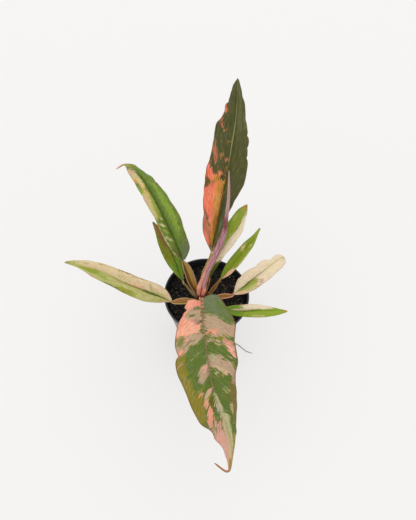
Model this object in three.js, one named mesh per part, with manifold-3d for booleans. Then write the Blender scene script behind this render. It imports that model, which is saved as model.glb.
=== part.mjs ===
// A young potted caramel marble philodendron: a black nursery pot full of soil, a short stem with
// its roots, nine open leaves on winged stalks, one leaf still rolled up, and a root that has
// escaped through a drainage slot. Millimetres, +Z up, the origin at the centre of the pot's base.

import * as THREE from 'three';
import { mergeVertices } from 'three/addons/utils/BufferGeometryUtils.js';
import Module from 'manifold-3d';

const wasm = await Module();
wasm.setup();

// The clearance between pieces that touch.
const GAP = 0.35;

const POT = {
  height: 86,
  rimRadius: 50,
  lipBottom: 82.8,
  neckRadius: 48.2,
  baseRadius: 33,
  wall: 0.9,
  floor: 1.4,
  segments: 44,
  slots: 6,
  slotAzimuth: -27,
  slotWidth: 9,
  slotHeight: 4.5,
};

const SOIL = { top: 78, edgeSink: 0.4, bumps: 0.9, mound: 0.3, rings: 7, segments: 30, seed: 11 };

// The stem stands a little off the pot's axis.
const STEM = { x: -4.5, y: -3.6, foot: 58, top: 87.5, footRadius: 6.6, topRadius: 4.4, sides: 12 };

const ROOTS = { count: 5, reach: 25, depth: 34, radius: 1.7, tipRadius: 0.7, rings: 5, sides: 5 };

// A blade's midrib is a smooth curve through its points, from the stalk to the drip tip. The half
// widths, on the left and right of the midrib as seen from the stalk, are spaced evenly along it.
// roll, fold and cup turn, crease and bulge the blade; lobes reach back beside the stalk.
const BLADES = {
  front: {
    midrib: [[-5.6, -44, 150], [-0.4, -82, 159], [7, -121, 157], [16, -149, 145], [28, -167, 122],
      [36, -182, 98], [37, -197, 80], [33, -202, 76], [20, -195, 79]],
    left: [19.2, 22.6, 26, 30.4, 32.9, 34.5, 32, 31, 31, 30.5, 26, 23.5, 22, 19, 17.5, 13.5,
      9.5, 8, 5.5, 3, 1.5, 1, 1, 0.9, 0.8],
    right: [13.8, 18, 21, 24.8, 27.2, 30, 31.5, 30, 32.5, 32.5, 30, 27.5, 26.5, 25.5, 24, 18.5,
      16, 15.5, 11.5, 8.5, 7, 4, 1.5, 0.9, 0.8],
    roll: [-12, -12, -10, 0],
    fold: [12, 12, 12, 6],
    lobes: [2.4, 0],
    wave: 1.7,
    waves: 6.5,
    cup: 2.6,
    rows: 32,
    colour: 0xb58a6c,
  },
  back: {
    midrib: [[2, 24, 142], [4, 37, 152], [8, 63, 170], [13, 93, 192], [16, 118, 210],
      [19, 151, 228], [18, 196, 241]],
    left: [1, 6.5, 11.5, 16, 17.5, 17, 19.5, 22, 23.5, 23, 23.5, 25, 23.5, 21.5, 21, 22, 22.5,
      21, 16, 14, 13.5, 8.5, 6.5, 5, 0.8],
    right: [3.5, 7.5, 9, 10, 11, 12.5, 14.5, 17.5, 22.5, 26, 26.5, 26.5, 27.5, 24.5, 21.5, 21.5, 19,
      15.5, 11.5, 10.5, 9.5, 6.5, 5, 3, 0.8],
    roll: [22, 22, 12],
    fold: [15, 15, 10],
    lobes: [0, 0],
    wave: 1.8,
    waves: 6,
    cup: 2.2,
    rows: 26,
    colour: 0x5f6338,
  },
  upper_left: {
    midrib: [[-30, 20, 126], [-43.5, 37, 150], [-63, 67, 166], [-82, 100, 165], [-99, 126, 156],
      [-110, 134, 149], [-119, 131, 143]],
    left: [1, 6.5, 11, 13, 14, 14, 14, 14, 15, 15, 15, 15.5, 15, 14, 13, 12, 10, 7, 4.5, 2.5,
      0.8],
    right: [3, 11.5, 14.2, 15, 15.3, 16.5, 17, 16.5, 15.5, 15, 13.5, 12, 11.5, 10.5, 7.5, 5.5, 4.5,
      4, 1.5, 1, 0.8],
    roll: [-8, -8, -4],
    fold: [24, 24, 14],
    lobes: [0, 0],
    wave: 0.7,
    waves: 4,
    cup: 1.6,
    rows: 22,
    colour: 0x6a8f45,
  },
  left: {
    midrib: [[-40, -23, 106], [-65, -23, 124], [-90, -22, 138], [-114, -16, 148],
      [-135, -13, 152], [-157, -9, 152]],
    left: [1, 4.5, 8, 10.5, 12.5, 13, 12.5, 11.5, 10.5, 10.5, 11, 10.5, 9, 5.5, 3, 1.5, 0.8],
    right: [2.5, 8.2, 11.2, 12, 11.5, 11.5, 11.5, 12, 11.5, 10.5, 9.5, 9, 8, 7.5, 6, 4, 0.8],
    roll: [18, 18, 10],
    fold: [15, 15, 12],
    lobes: [0, 0],
    wave: 0.5,
    waves: 4,
    cup: 1.3,
    rows: 18,
    colour: 0xc2b582,
  },
  left_small: {
    midrib: [[-29, 7, 103], [-37, 20, 115], [-47, 37, 124], [-58, 53, 128], [-69, 68, 129]],
    left: [1, 7.7, 11.7, 12.8, 9.7, 5, 0.8],
    right: [1, 6.2, 8.2, 8.3, 6.5, 3.6, 0.8],
    roll: [-6, -6, 0],
    fold: [16, 16, 12],
    lobes: [0, 0],
    wave: 0.5,
    waves: 3,
    cup: 1.2,
    rows: 14,
    colour: 0x5f8432,
  },
  right: {
    midrib: [[31, -8, 106], [43, -3, 118], [53, 4, 126], [63, 11, 131], [74, 23, 130],
      [85, 36, 124]],
    left: [1, 6.5, 10.5, 11.5, 12, 11, 9.5, 10.5, 9.5, 5.5, 6, 5.8, 3.4],
    right: [1, 5, 8, 10, 11.5, 12, 12, 11.5, 11, 11, 10, 8, 3.5],
    roll: [-10, -10, -5],
    fold: [12, 12, 8],
    lobes: [0, 0],
    wave: 0.3,
    waves: 3,
    cup: 1.2,
    rows: 14,
    colour: 0xe2d6b2,
  },
  right_low: {
    midrib: [[19, -24, 98], [39, -31, 109], [58, -32, 115], [76, -30, 114], [92, -27, 109]],
    left: [1, 5.5, 7.5, 7.2, 5.3, 2.6, 0.8],
    right: [1, 5.5, 7, 8.2, 8.2, 5.5, 0.8],
    roll: [-15, -15, -8],
    fold: [15, 15, 10],
    lobes: [0, 0],
    wave: 0.4,
    waves: 3,
    cup: 0.9,
    rows: 14,
    colour: 0x8faa3c,
  },
  upper_right: {
    midrib: [[15, 11, 106], [22, 17, 118], [31, 25, 128], [40, 35, 137], [49, 46, 142],
      [56, 61, 142]],
    left: [1, 4, 6.3, 6, 5.2, 3, 0.8],
    right: [1, 6.5, 7.3, 7, 6, 2.3, 0.8],
    roll: [-15, -15, -8],
    fold: [15, 15, 12],
    lobes: [0, 0],
    wave: 0.4,
    waves: 3,
    cup: 0.8,
    rows: 14,
    colour: 0x79983a,
  },
  back_right: {
    midrib: [[2, 13, 104], [9, 25, 130], [19, 37, 147], [28, 46, 158], [34, 58, 165],
      [38.3, 74.6, 167.5]],
    left: [1, 2.5, 4, 5.5, 7.2, 9, 11.2, 12, 10.5, 7.8, 0.8],
    right: [1, 2.8, 4.8, 7, 8.5, 9.8, 9.9, 8, 4.4, 3.1, 0.8],
    roll: [0, 0, 0],
    fold: [15, 15, 12],
    lobes: [0, 0],
    wave: 0.5,
    waves: 3,
    cup: 1,
    rows: 14,
    colour: 0xb9b67c,
  },
};

// The lobes begin beside the midrib, and their outer corners are trimmed.
const BLADE = {
  thickness: 0.9,
  keel: 1.1,
  groove: 0.3,
  ribHalf: 1.3,
  lobeSpan: 0.14,
  lobeRoot: 0.1,
  lobeTrim: 0.4,
};

// A stalk leaves the stem at an azimuth and a height, and passes through its own points on the way
// to its blade. Its half widths are spaced evenly, and its wings make it a boat with a channel.
const STALKS = {
  front: {
    azimuth: -95, height: 84, via: [[-4, -20, 108], [-4.5, -32, 132]],
    half: [2, 3.6, 4.2, 3.4, 1.4], colour: 0xa5743f,
  },
  back: {
    azimuth: 101, height: 84.5, via: [[-5, 13, 104], [-1.7, 18, 122]],
    half: [1.7, 2.6, 3, 2.4, 1.6, 1.4], colour: 0x9c9a50,
  },
  upper_left: {
    azimuth: 139, height: 83.5, via: [[-17, 5.5, 98], [-23, 12.5, 112]],
    half: [1.7, 3.8, 5, 5.4, 5.2, 4.5, 1.4], colour: 0x8d7335,
  },
  left: {
    azimuth: 210, height: 82, via: [[-19, -13, 91], [-29, -19, 99]],
    half: [1.7, 2.9, 4.3, 3.8, 1.3], colour: 0x9f7a4c,
  },
  left_small: {
    azimuth: 175, height: 81, via: [[-19.5, 2.8, 87], [-26, 6, 96]],
    half: [1.6, 2.1, 1.5, 1.2, 1.2], colour: 0x8f9350,
  },
  right: {
    azimuth: -12, height: 81.5, via: [[12, -5, 89], [22, -7.5, 98]],
    half: [1.7, 2.7, 3.8, 3.2, 1.3], colour: 0xa9804f,
  },
  right_low: {
    azimuth: -50, height: 81, via: [[7, -14, 87], [13, -20, 93]],
    half: [1.6, 2, 2.2, 1.8, 1.2], colour: 0x93974f,
  },
  upper_right: {
    azimuth: 28, height: 81.5, via: [[6, 4, 89], [11, 8, 98]],
    half: [1.6, 2.2, 2.5, 1.5, 1.2], colour: 0x8b6b35,
  },
  back_right: {
    azimuth: 64, height: 82, via: [[-0.8, 8, 89], [0.8, 11, 97]],
    half: [1.6, 2, 2.1, 1.8, 1.2], colour: 0x946a3a,
  },
};

const STALK = {
  rings: 9,
  arcSteps: 6,
  edge: 0.8,
  keel: 1.1,
  keelPerWidth: 0.22,
  wing: 0.34,
  floor: 1.5,
  footGap: 0.95,
  tipGap: 0.5,
  neck: 3.5,
};

// The youngest leaf: a coral sheath on top of the stem, open along a groove at its foot, and above
// it the blade, still rolled. A turn runs round their sections from the right side, over the front.
const NEW_LEAF_FACE = new THREE.Vector3(0, -1, 0.35);

const SHEATH = {
  path: [[-6.8, -3.2, 89.7], [-6.8, -0.4, 93.6], [-5.4, 4, 104], [-2.9, 7, 116], [-1.2, 8, 126]],
  half: [4, 5.5, 4.4, 4, 3.6],
  flatness: 0.8,
  groove: { depth: 0.6, breadth: 0.28, shut: 0.42, closing: 0.2 },
  lobes: [
    { turn: 0.8, breadth: 0.5, rise: 0.22, end: 0.26 },
    { turn: 2.4, breadth: 0.6, rise: 0.2, end: 0.34 },
  ],
  rings: 15,
  sides: 16,
  colour: 0xcf7f6c,
};

const ROLLED = {
  path: [[-1.2, 8, 126.6], [3.3, 9, 146], [8.2, 11, 166], [11.4, 13, 183], [14, 16, 199],
    [14.4, 18, 214], [15, 24, 236], [14.6, 30, 250], [13.2, 40, 268]],
  half: [3.6, 3.5, 3.4, 3.2, 2.7, 2, 1.6, 1.2, 0.5],
  flatness: 0.85,
  overlap: 0.16,
  rings: 18,
  sides: 10,
  colour: 0xb3748a,
};

const LOOSE_ROOT = {
  path: [[29.2, -14.9, 2.5], [35, -18, 1.2], [44, -22, 0.9], [49, -26, 0.9], [55, -30, 0.9],
    [62, -32, 0.8]],
  radius: 0.7,
  tipRadius: 0.45,
  rings: 14,
  sides: 6,
  colour: 0x9a958c,
};

const radians = THREE.MathUtils.degToRad;
const up = new THREE.Vector3(0, 0, 1);
const point = ([x, y, z]) => new THREE.Vector3(x, y, z);

// The same numbers each time, from a seed.
function randomFrom(seed) {
  let state = seed;
  return () => {
    state = (state * 16807) % 2147483647;
    return state / 2147483647;
  };
}

// The value at s, from 0 to 1, on straight lines between evenly spaced values.
function linear(values, s) {
  const place = s * (values.length - 1);
  const i = Math.min(Math.floor(place), values.length - 2);
  return THREE.MathUtils.lerp(values[i], values[i + 1], place - i);
}

// The same on a smooth curve through the values.
function smooth(values, s) {
  const last = values.length - 1;
  const place = s * last;
  const i = Math.min(Math.floor(place), last - 1);
  const t = place - i;
  const slope = (k) => (values[Math.min(k + 1, last)] - values[Math.max(k - 1, 0)])
    / (Math.min(k + 1, last) - Math.max(k - 1, 0));
  const h00 = 2 * t ** 3 - 3 * t ** 2 + 1;
  const h10 = t ** 3 - 2 * t ** 2 + t;
  const h01 = 3 * t ** 2 - 2 * t ** 3;
  const h11 = t ** 3 - t ** 2;
  return h00 * values[i] + h10 * slope(i) + h01 * values[i + 1] + h11 * slope(i + 1);
}

const curveThrough = (points) => new THREE.CatmullRomCurve3(points, false, 'catmullrom', 0.5);

// The point, direction, right side and upper side of a curve at s, with its upper side towards face.
function frameAt(curve, s, face = up) {
  const at = curve.getPointAt(s);
  const along = curve.getTangentAt(s);
  const right = new THREE.Vector3().crossVectors(along, face).normalize();
  const top = new THREE.Vector3().crossVectors(right, along);
  return { at, along, right, top };
}

// A closed body from rings of points that follow each other, each ring turning the same way.
// A flat end is filled by strips between the ring's first half and its second half.
function bodyFromRings(rings) {
  const size = rings[0].length;
  const positions = rings.flat().flatMap((p) => [p.x, p.y, p.z]);
  const index = [];
  for (let i = 0; i + 1 < rings.length; i += 1) {
    for (let j = 0; j < size; j += 1) {
      const a = i * size + j;
      const b = i * size + ((j + 1) % size);
      index.push(a, b, a + size, b, b + size, a + size);
    }
  }
  const last = (rings.length - 1) * size;
  for (let j = 0; j < size / 2 - 1; j += 1) {
    const a = j;
    const b = j + 1;
    const c = size - 2 - j;
    const d = size - 1 - j;
    index.push(a, c, b, a, d, c);
    index.push(last + a, last + b, last + c, last + a, last + c, last + d);
  }
  const geometry = new THREE.BufferGeometry();
  geometry.setAttribute('position', new THREE.Float32BufferAttribute(positions, 3));
  geometry.setIndex(index);
  return geometry;
}

// A tapered tube along a curve, with a point of its own at each end, the last one beyond by tip.
function taperedTube(path, radiusAt, rings, sides, face = up, tip = 0) {
  const curve = curveThrough(path);
  const positions = [];
  const index = [];
  for (let i = 0; i < rings; i += 1) {
    const s = i / (rings - 1);
    const { at, right, top } = frameAt(curve, s, face);
    for (let j = 0; j < sides; j += 1) {
      const turn = (2 * Math.PI * j) / sides;
      const p = at.clone()
        .addScaledVector(right, Math.cos(turn) * radiusAt(s, turn))
        .addScaledVector(top, Math.sin(turn) * radiusAt(s, turn));
      positions.push(p.x, p.y, p.z);
    }
  }
  for (let i = 0; i + 1 < rings; i += 1) {
    for (let j = 0; j < sides; j += 1) {
      const a = i * sides + j;
      const b = i * sides + ((j + 1) % sides);
      index.push(a, a + sides, b, b, a + sides, b + sides);
    }
  }
  const foot = positions.length / 3;
  const head = foot + 1;
  const start = curve.getPointAt(0);
  const end = curve.getPointAt(1).addScaledVector(curve.getTangentAt(1), tip);
  positions.push(start.x, start.y, start.z, end.x, end.y, end.z);
  const last = (rings - 1) * sides;
  for (let j = 0; j < sides; j += 1) {
    const next = (j + 1) % sides;
    index.push(foot, j, next);
    index.push(head, last + next, last + j);
  }
  const geometry = new THREE.BufferGeometry();
  geometry.setAttribute('position', new THREE.Float32BufferAttribute(positions, 3));
  geometry.setIndex(index);
  return geometry;
}

function solidFrom(geometry) {
  const bare = geometry.clone();
  bare.deleteAttribute('normal');
  bare.deleteAttribute('uv');
  const merged = mergeVertices(bare, 1e-4);
  return new wasm.Manifold(new wasm.Mesh({
    numProp: 3,
    vertProperties: new Float32Array(merged.attributes.position.array),
    triVerts: new Uint32Array(merged.index.array),
  }));
}

function geometryFrom(solid) {
  const { vertProperties, triVerts, numProp } = solid.getMesh();
  const positions = [];
  for (let i = 0; i < vertProperties.length; i += numProp) {
    positions.push(vertProperties[i], vertProperties[i + 1], vertProperties[i + 2]);
  }
  const geometry = new THREE.BufferGeometry();
  geometry.setAttribute('position', new THREE.Float32BufferAttribute(positions, 3));
  geometry.setIndex([...triVerts]);
  return geometry;
}

function finish(name, geometry, colour, roughness = 0.5) {
  geometry.computeVertexNormals();
  const material = new THREE.MeshStandardMaterial({ color: colour, roughness, metalness: 0 });
  const mesh = new THREE.Mesh(geometry, material);
  mesh.name = name;
  return mesh;
}

// One row of a blade: its upper points from the left margin to the right, and its lower points back.
function bladeRow(leaf, curve, s) {
  const { at, along, right, top } = frameAt(curve, s);
  const roll = radians(linear(leaf.roll, s));
  const fold = radians(linear(leaf.fold, s));
  const side = right.clone().multiplyScalar(Math.cos(roll)).addScaledVector(top, Math.sin(roll));
  const lift = new THREE.Vector3().crossVectors(side, along);
  const upper = [];
  const lower = [];
  for (const hand of [-1, 1]) {
    const half = smooth(hand < 0 ? leaf.left : leaf.right, s);
    const rib = Math.min(BLADE.ribHalf / half, 0.2);
    const reach = leaf.lobes[hand < 0 ? 0 : 1] * Math.max(0, 1 - s / BLADE.lobeSpan);
    const roundedBack = (share) => {
      const beyond = Math.max(0, (share - BLADE.lobeRoot) / (1 - BLADE.lobeRoot));
      return reach * (1 - (1 - beyond) ** 4) * (1 - BLADE.lobeTrim * beyond ** 6);
    };
    const shares = hand < 0 ? [1, 0.72, 0.4, rib] : [0, rib, 0.4, 0.72, 1];
    for (const share of shares) {
      const ripple = Math.sin(2 * Math.PI * leaf.waves * s + hand) * leaf.wave * share ** 2;
      const fade = Math.min(1, half / 8);
      const bulge = 4 * share * (1 - share) * leaf.cup * fade;
      const middle = at.clone()
        .addScaledVector(side, hand * half * share * Math.cos(fold))
        .addScaledVector(lift, half * share * Math.sin(fold) + (ripple + bulge) * fade)
        .addScaledVector(along, -roundedBack(share));
      const sink = share === 0 ? BLADE.groove : 0;
      const keel = share === 0 ? BLADE.keel * (1 - 0.8 * s) : 0;
      upper.push(middle.clone().addScaledVector(lift, BLADE.thickness / 2 - sink));
      lower.push(middle.clone().addScaledVector(lift, -BLADE.thickness / 2 - keel));
    }
  }
  return [...upper, ...lower.reverse()];
}

function blade(name, leaf) {
  const curve = curveThrough(leaf.midrib.map(point));
  const rows = [];
  for (let i = 0; i <= leaf.rows; i += 1) {
    rows.push(bladeRow(leaf, curve, i / leaf.rows));
  }
  return finish(`leaf_${name}`, bodyFromRings(rows), leaf.colour, 0.45);
}

// One ring of a boat-shaped stalk: its outer side from the left wing round the keel to the right
// wing, and back along its channel. channel is how deep the channel is, as a share of the depth.
function boatRing(frame, half, wing, depth, channel) {
  const ring = [];
  const place = (x, z) => ring.push(frame.at.clone()
    .addScaledVector(frame.right, x)
    .addScaledVector(frame.top, z));
  for (let j = 0; j <= STALK.arcSteps; j += 1) {
    const turn = Math.PI * (j / STALK.arcSteps - 0.5);
    place(half * Math.sin(turn), wing - (wing + depth) * Math.cos(turn));
  }
  for (let j = STALK.arcSteps; j >= 0; j -= 1) {
    const turn = Math.PI * (j / STALK.arcSteps - 0.5);
    place((half - STALK.edge) * Math.sin(turn), wing - (wing + depth) * channel * Math.cos(turn));
  }
  return ring.reverse();
}

function stemRadius(z) {
  const s = (z - STEM.foot) / (STEM.top - STEM.foot);
  return THREE.MathUtils.lerp(STEM.footRadius, STEM.topRadius, s);
}

function stalk(name, spec) {
  const leafCurve = curveThrough(BLADES[name].midrib.map(point));
  const turn = radians(spec.azimuth);
  const out = stemRadius(spec.height) + STALK.footGap;
  const foot = point([STEM.x + out * Math.cos(turn), STEM.y + out * Math.sin(turn), spec.height]);
  const behind = (gap) => leafCurve.getPointAt(0).addScaledVector(leafCurve.getTangentAt(0), -gap);
  const neck = [behind(STALK.tipGap + STALK.neck), behind(STALK.tipGap)];
  const curve = curveThrough([foot, ...spec.via.map(point), ...neck]);
  const rings = [];
  for (let i = 0; i < STALK.rings; i += 1) {
    const s = i / (STALK.rings - 1);
    const half = smooth(spec.half, s);
    const depth = STALK.keel + STALK.keelPerWidth * half;
    const wing = STALK.wing * half;
    const channel = Math.max(0.1, 1 - STALK.floor / (wing + depth));
    rings.push(boatRing(frameAt(curve, s), half, wing, depth, channel));
  }
  return finish(`stalk_${name}`, bodyFromRings(rings), spec.colour, 0.5);
}

// A swelling of a section round a turn: 1 at its middle, and next to nothing beyond its breadth.
const swelling = (turn, middle, breadth) => Math.exp(-(((turn - middle) / breadth) ** 2));

const flattened = (flatness, turn) => flatness + (1 - flatness) * Math.abs(Math.cos(turn));

// The sheath has a groove down its front, cut in, and two lobes that stand proud of it.
function sheath() {
  const { path, half, flatness, groove, lobes, rings, sides, colour } = SHEATH;
  const radiusAt = (s, turn) => {
    const open = THREE.MathUtils.clamp((groove.shut - s) / groove.closing, 0, 1);
    let shape = 1 - groove.depth * open * swelling(turn, Math.PI / 2, groove.breadth);
    for (const lobe of lobes) {
      if (s < lobe.end) {
        shape += lobe.rise * swelling(turn, lobe.turn, lobe.breadth);
      }
    }
    return smooth(half, s) * flattened(flatness, turn) * shape;
  };
  const geometry = taperedTube(path.map(point), radiusAt, rings, sides, NEW_LEAF_FACE);
  return finish('new_leaf_sheath', geometry, colour, 0.5);
}

// The rolled blade's section winds inwards, so its outer edge stands proud along one side.
function rolledLeaf() {
  const { path, half, flatness, overlap, rings, sides, colour } = ROLLED;
  const radiusAt = (s, turn) => {
    const proud = 1 + overlap * (turn / (2 * Math.PI) - 0.5);
    return smooth(half, s) * flattened(flatness, turn) * proud;
  };
  const geometry = taperedTube(path.map(point), radiusAt, rings, sides, NEW_LEAF_FACE);
  return finish('new_leaf_rolled', geometry, colour, 0.45);
}

function rootPath(k) {
  const turn = (2 * Math.PI * (k + 0.5)) / ROOTS.count;
  const along = (share, drop) => point([
    STEM.x + Math.cos(turn + 0.5 * share) * ROOTS.reach * share,
    STEM.y + Math.sin(turn + 0.5 * share) * ROOTS.reach * share,
    STEM.foot + 4 - ROOTS.depth * drop,
  ]);
  return [along(0.1, 0), along(0.45, 0.2), along(0.8, 0.55), along(1, 1)];
}

// The stem and its roots, grown as one piece, made larger by extra for the hole that holds them.
function stemSolid(extra) {
  const z = [STEM.foot - extra, STEM.foot + 8, STEM.top + (extra > 0 ? 4 : 0)];
  const profile = [
    new THREE.Vector2(0, z[0]),
    new THREE.Vector2(STEM.footRadius * 0.7 + extra, z[0]),
    new THREE.Vector2(stemRadius(z[1]) + extra, z[1]),
    new THREE.Vector2(STEM.topRadius + extra, z[2]),
    new THREE.Vector2(0, z[2]),
  ];
  const body = new THREE.LatheGeometry(profile, STEM.sides).rotateX(Math.PI / 2);
  body.translate(STEM.x, STEM.y, 0);
  let solid = solidFrom(body);
  for (let k = 0; k < ROOTS.count; k += 1) {
    const thickness = (s) => THREE.MathUtils.lerp(ROOTS.radius, ROOTS.tipRadius, s) + extra;
    const root = taperedTube(rootPath(k), thickness, ROOTS.rings, ROOTS.sides, up, 3 * extra);
    solid = solid.add(solidFrom(root));
  }
  return solid;
}

function insideRadius(z) {
  return THREE.MathUtils.lerp(POT.baseRadius, POT.neckRadius, z / POT.lipBottom) - POT.wall;
}

function lathed(pairs, segments) {
  const profile = pairs.map(([r, z]) => new THREE.Vector2(r, z));
  return new THREE.LatheGeometry(profile, segments).rotateX(Math.PI / 2);
}

function pot() {
  const { height, rimRadius, lipBottom, neckRadius, baseRadius, floor } = POT;
  let solid = solidFrom(lathed([
    [0, 0],
    [baseRadius - 1.5, 0],
    [baseRadius, 1.5],
    [neckRadius, lipBottom],
    [rimRadius - 0.4, lipBottom + 0.2],
    [rimRadius, lipBottom + 0.8],
    [rimRadius, height - 0.9],
    [rimRadius - 0.8, height],
    [insideRadius(height) + 0.5, height],
    [insideRadius(height), height - 0.7],
    [insideRadius(floor), floor],
    [0, floor],
  ], POT.segments));
  for (let k = 0; k < POT.slots; k += 1) {
    const turn = radians(POT.slotAzimuth) + (2 * Math.PI * k) / POT.slots;
    const cutter = new THREE.BoxGeometry(8, POT.slotWidth, POT.slotHeight * 2);
    cutter.rotateZ(turn);
    cutter.translate(Math.cos(turn) * baseRadius, Math.sin(turn) * baseRadius, 0);
    solid = solid.subtract(solidFrom(cutter));
  }
  return finish('pot', geometryFrom(solid), 0x2d2f33, 0.4);
}

function soil() {
  const random = randomFrom(SOIL.seed);
  const flats = Math.cos(Math.PI / POT.segments);
  const reach = (z) => insideRadius(z) * flats - GAP;
  const outline = [
    [reach(POT.floor + GAP), POT.floor + GAP],
    [reach(SOIL.top - SOIL.edgeSink), SOIL.top - SOIL.edgeSink],
  ];
  const positions = [0, 0, outline[0][1]];
  const index = [];
  const addRing = (radius, height) => {
    const start = positions.length / 3;
    for (let j = 0; j < SOIL.segments; j += 1) {
      const turn = (2 * Math.PI * j) / SOIL.segments;
      positions.push(radius * Math.cos(turn), radius * Math.sin(turn), height());
    }
    return start;
  };
  const rings = outline.map(([radius, z]) => addRing(radius, () => z));
  for (let i = SOIL.rings - 1; i > 0; i -= 1) {
    const share = i / SOIL.rings;
    const rise = SOIL.mound * (1 - share);
    rings.push(addRing(outline[1][0] * share, () => SOIL.top + rise + SOIL.bumps * (2 * random() - 1)));
  }
  positions.push(0, 0, SOIL.top + SOIL.mound);
  const crown = positions.length / 3 - 1;
  for (let j = 0; j < SOIL.segments; j += 1) {
    const next = (j + 1) % SOIL.segments;
    index.push(0, rings[0] + next, rings[0] + j);
    for (let i = 0; i + 1 < rings.length; i += 1) {
      index.push(rings[i] + j, rings[i] + next, rings[i + 1] + j);
      index.push(rings[i] + next, rings[i + 1] + next, rings[i + 1] + j);
    }
    index.push(rings[rings.length - 1] + j, rings[rings.length - 1] + next, crown);
  }
  const geometry = new THREE.BufferGeometry();
  geometry.setAttribute('position', new THREE.Float32BufferAttribute(positions, 3));
  geometry.setIndex(index);
  const solid = solidFrom(geometry).subtract(stemSolid(GAP + 0.1));
  return finish('soil', geometryFrom(solid), 0x2a211b, 0.95);
}

function looseRoot() {
  const { path, radius, tipRadius, rings, sides, colour } = LOOSE_ROOT;
  const thickness = (s) => THREE.MathUtils.lerp(radius, tipRadius, s);
  return finish('loose_root', taperedTube(path.map(point), thickness, rings, sides), colour, 0.8);
}

const plant = new THREE.Group();
plant.add(pot(), soil(), finish('stem', geometryFrom(stemSolid(0)), 0x8a4436, 0.6));
for (const [name, leaf] of Object.entries(BLADES)) {
  plant.add(blade(name, leaf), stalk(name, STALKS[name]));
}
plant.add(sheath(), rolledLeaf(), looseRoot());

export default plant;
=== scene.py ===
"""A young potted caramel marble philodendron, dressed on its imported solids.

The tables give lengths in millimetres and angles in degrees. Meshes are in metres.
"""

import math

import bmesh
import bpy
import numpy as np
from mathutils import Matrix, Vector, noise


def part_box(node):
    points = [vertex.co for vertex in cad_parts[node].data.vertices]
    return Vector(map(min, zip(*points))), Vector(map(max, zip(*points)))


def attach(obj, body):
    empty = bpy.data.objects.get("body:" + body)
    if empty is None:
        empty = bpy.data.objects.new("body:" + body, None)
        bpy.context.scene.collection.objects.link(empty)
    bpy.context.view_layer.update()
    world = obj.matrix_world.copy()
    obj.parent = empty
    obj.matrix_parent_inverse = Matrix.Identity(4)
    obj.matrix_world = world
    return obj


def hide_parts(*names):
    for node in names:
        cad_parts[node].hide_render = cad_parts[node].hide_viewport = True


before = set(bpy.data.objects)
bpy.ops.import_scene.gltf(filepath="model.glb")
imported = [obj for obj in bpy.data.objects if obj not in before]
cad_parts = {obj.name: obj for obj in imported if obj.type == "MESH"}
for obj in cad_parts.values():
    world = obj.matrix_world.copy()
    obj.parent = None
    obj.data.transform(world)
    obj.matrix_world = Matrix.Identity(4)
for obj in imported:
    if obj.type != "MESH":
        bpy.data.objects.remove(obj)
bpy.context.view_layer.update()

MM = 0.001
BODY = "root"

CAMERA = {"place": (-1.3, -411.0, 827.4), "pitch": 58.265, "roll": 4, "lens": 50, "sensor": 36}

# The floor's tone and faint glow keep the shadow soft. Each light has a place in metres and a power.
FLOOR = {"size": 12, "tone": (0.30, 0.297, 0.293, 1), "glow": 0.585}
SKY = {"tone": (1, 0.995, 0.985, 1), "strength": 0.89}
LIGHTS = {"back": ((0.4, 2.2, 2.8), 20), "key": ((-1.8, -1.0, 3.0), 15)}
LIGHT_SIZE = 3.4

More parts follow.
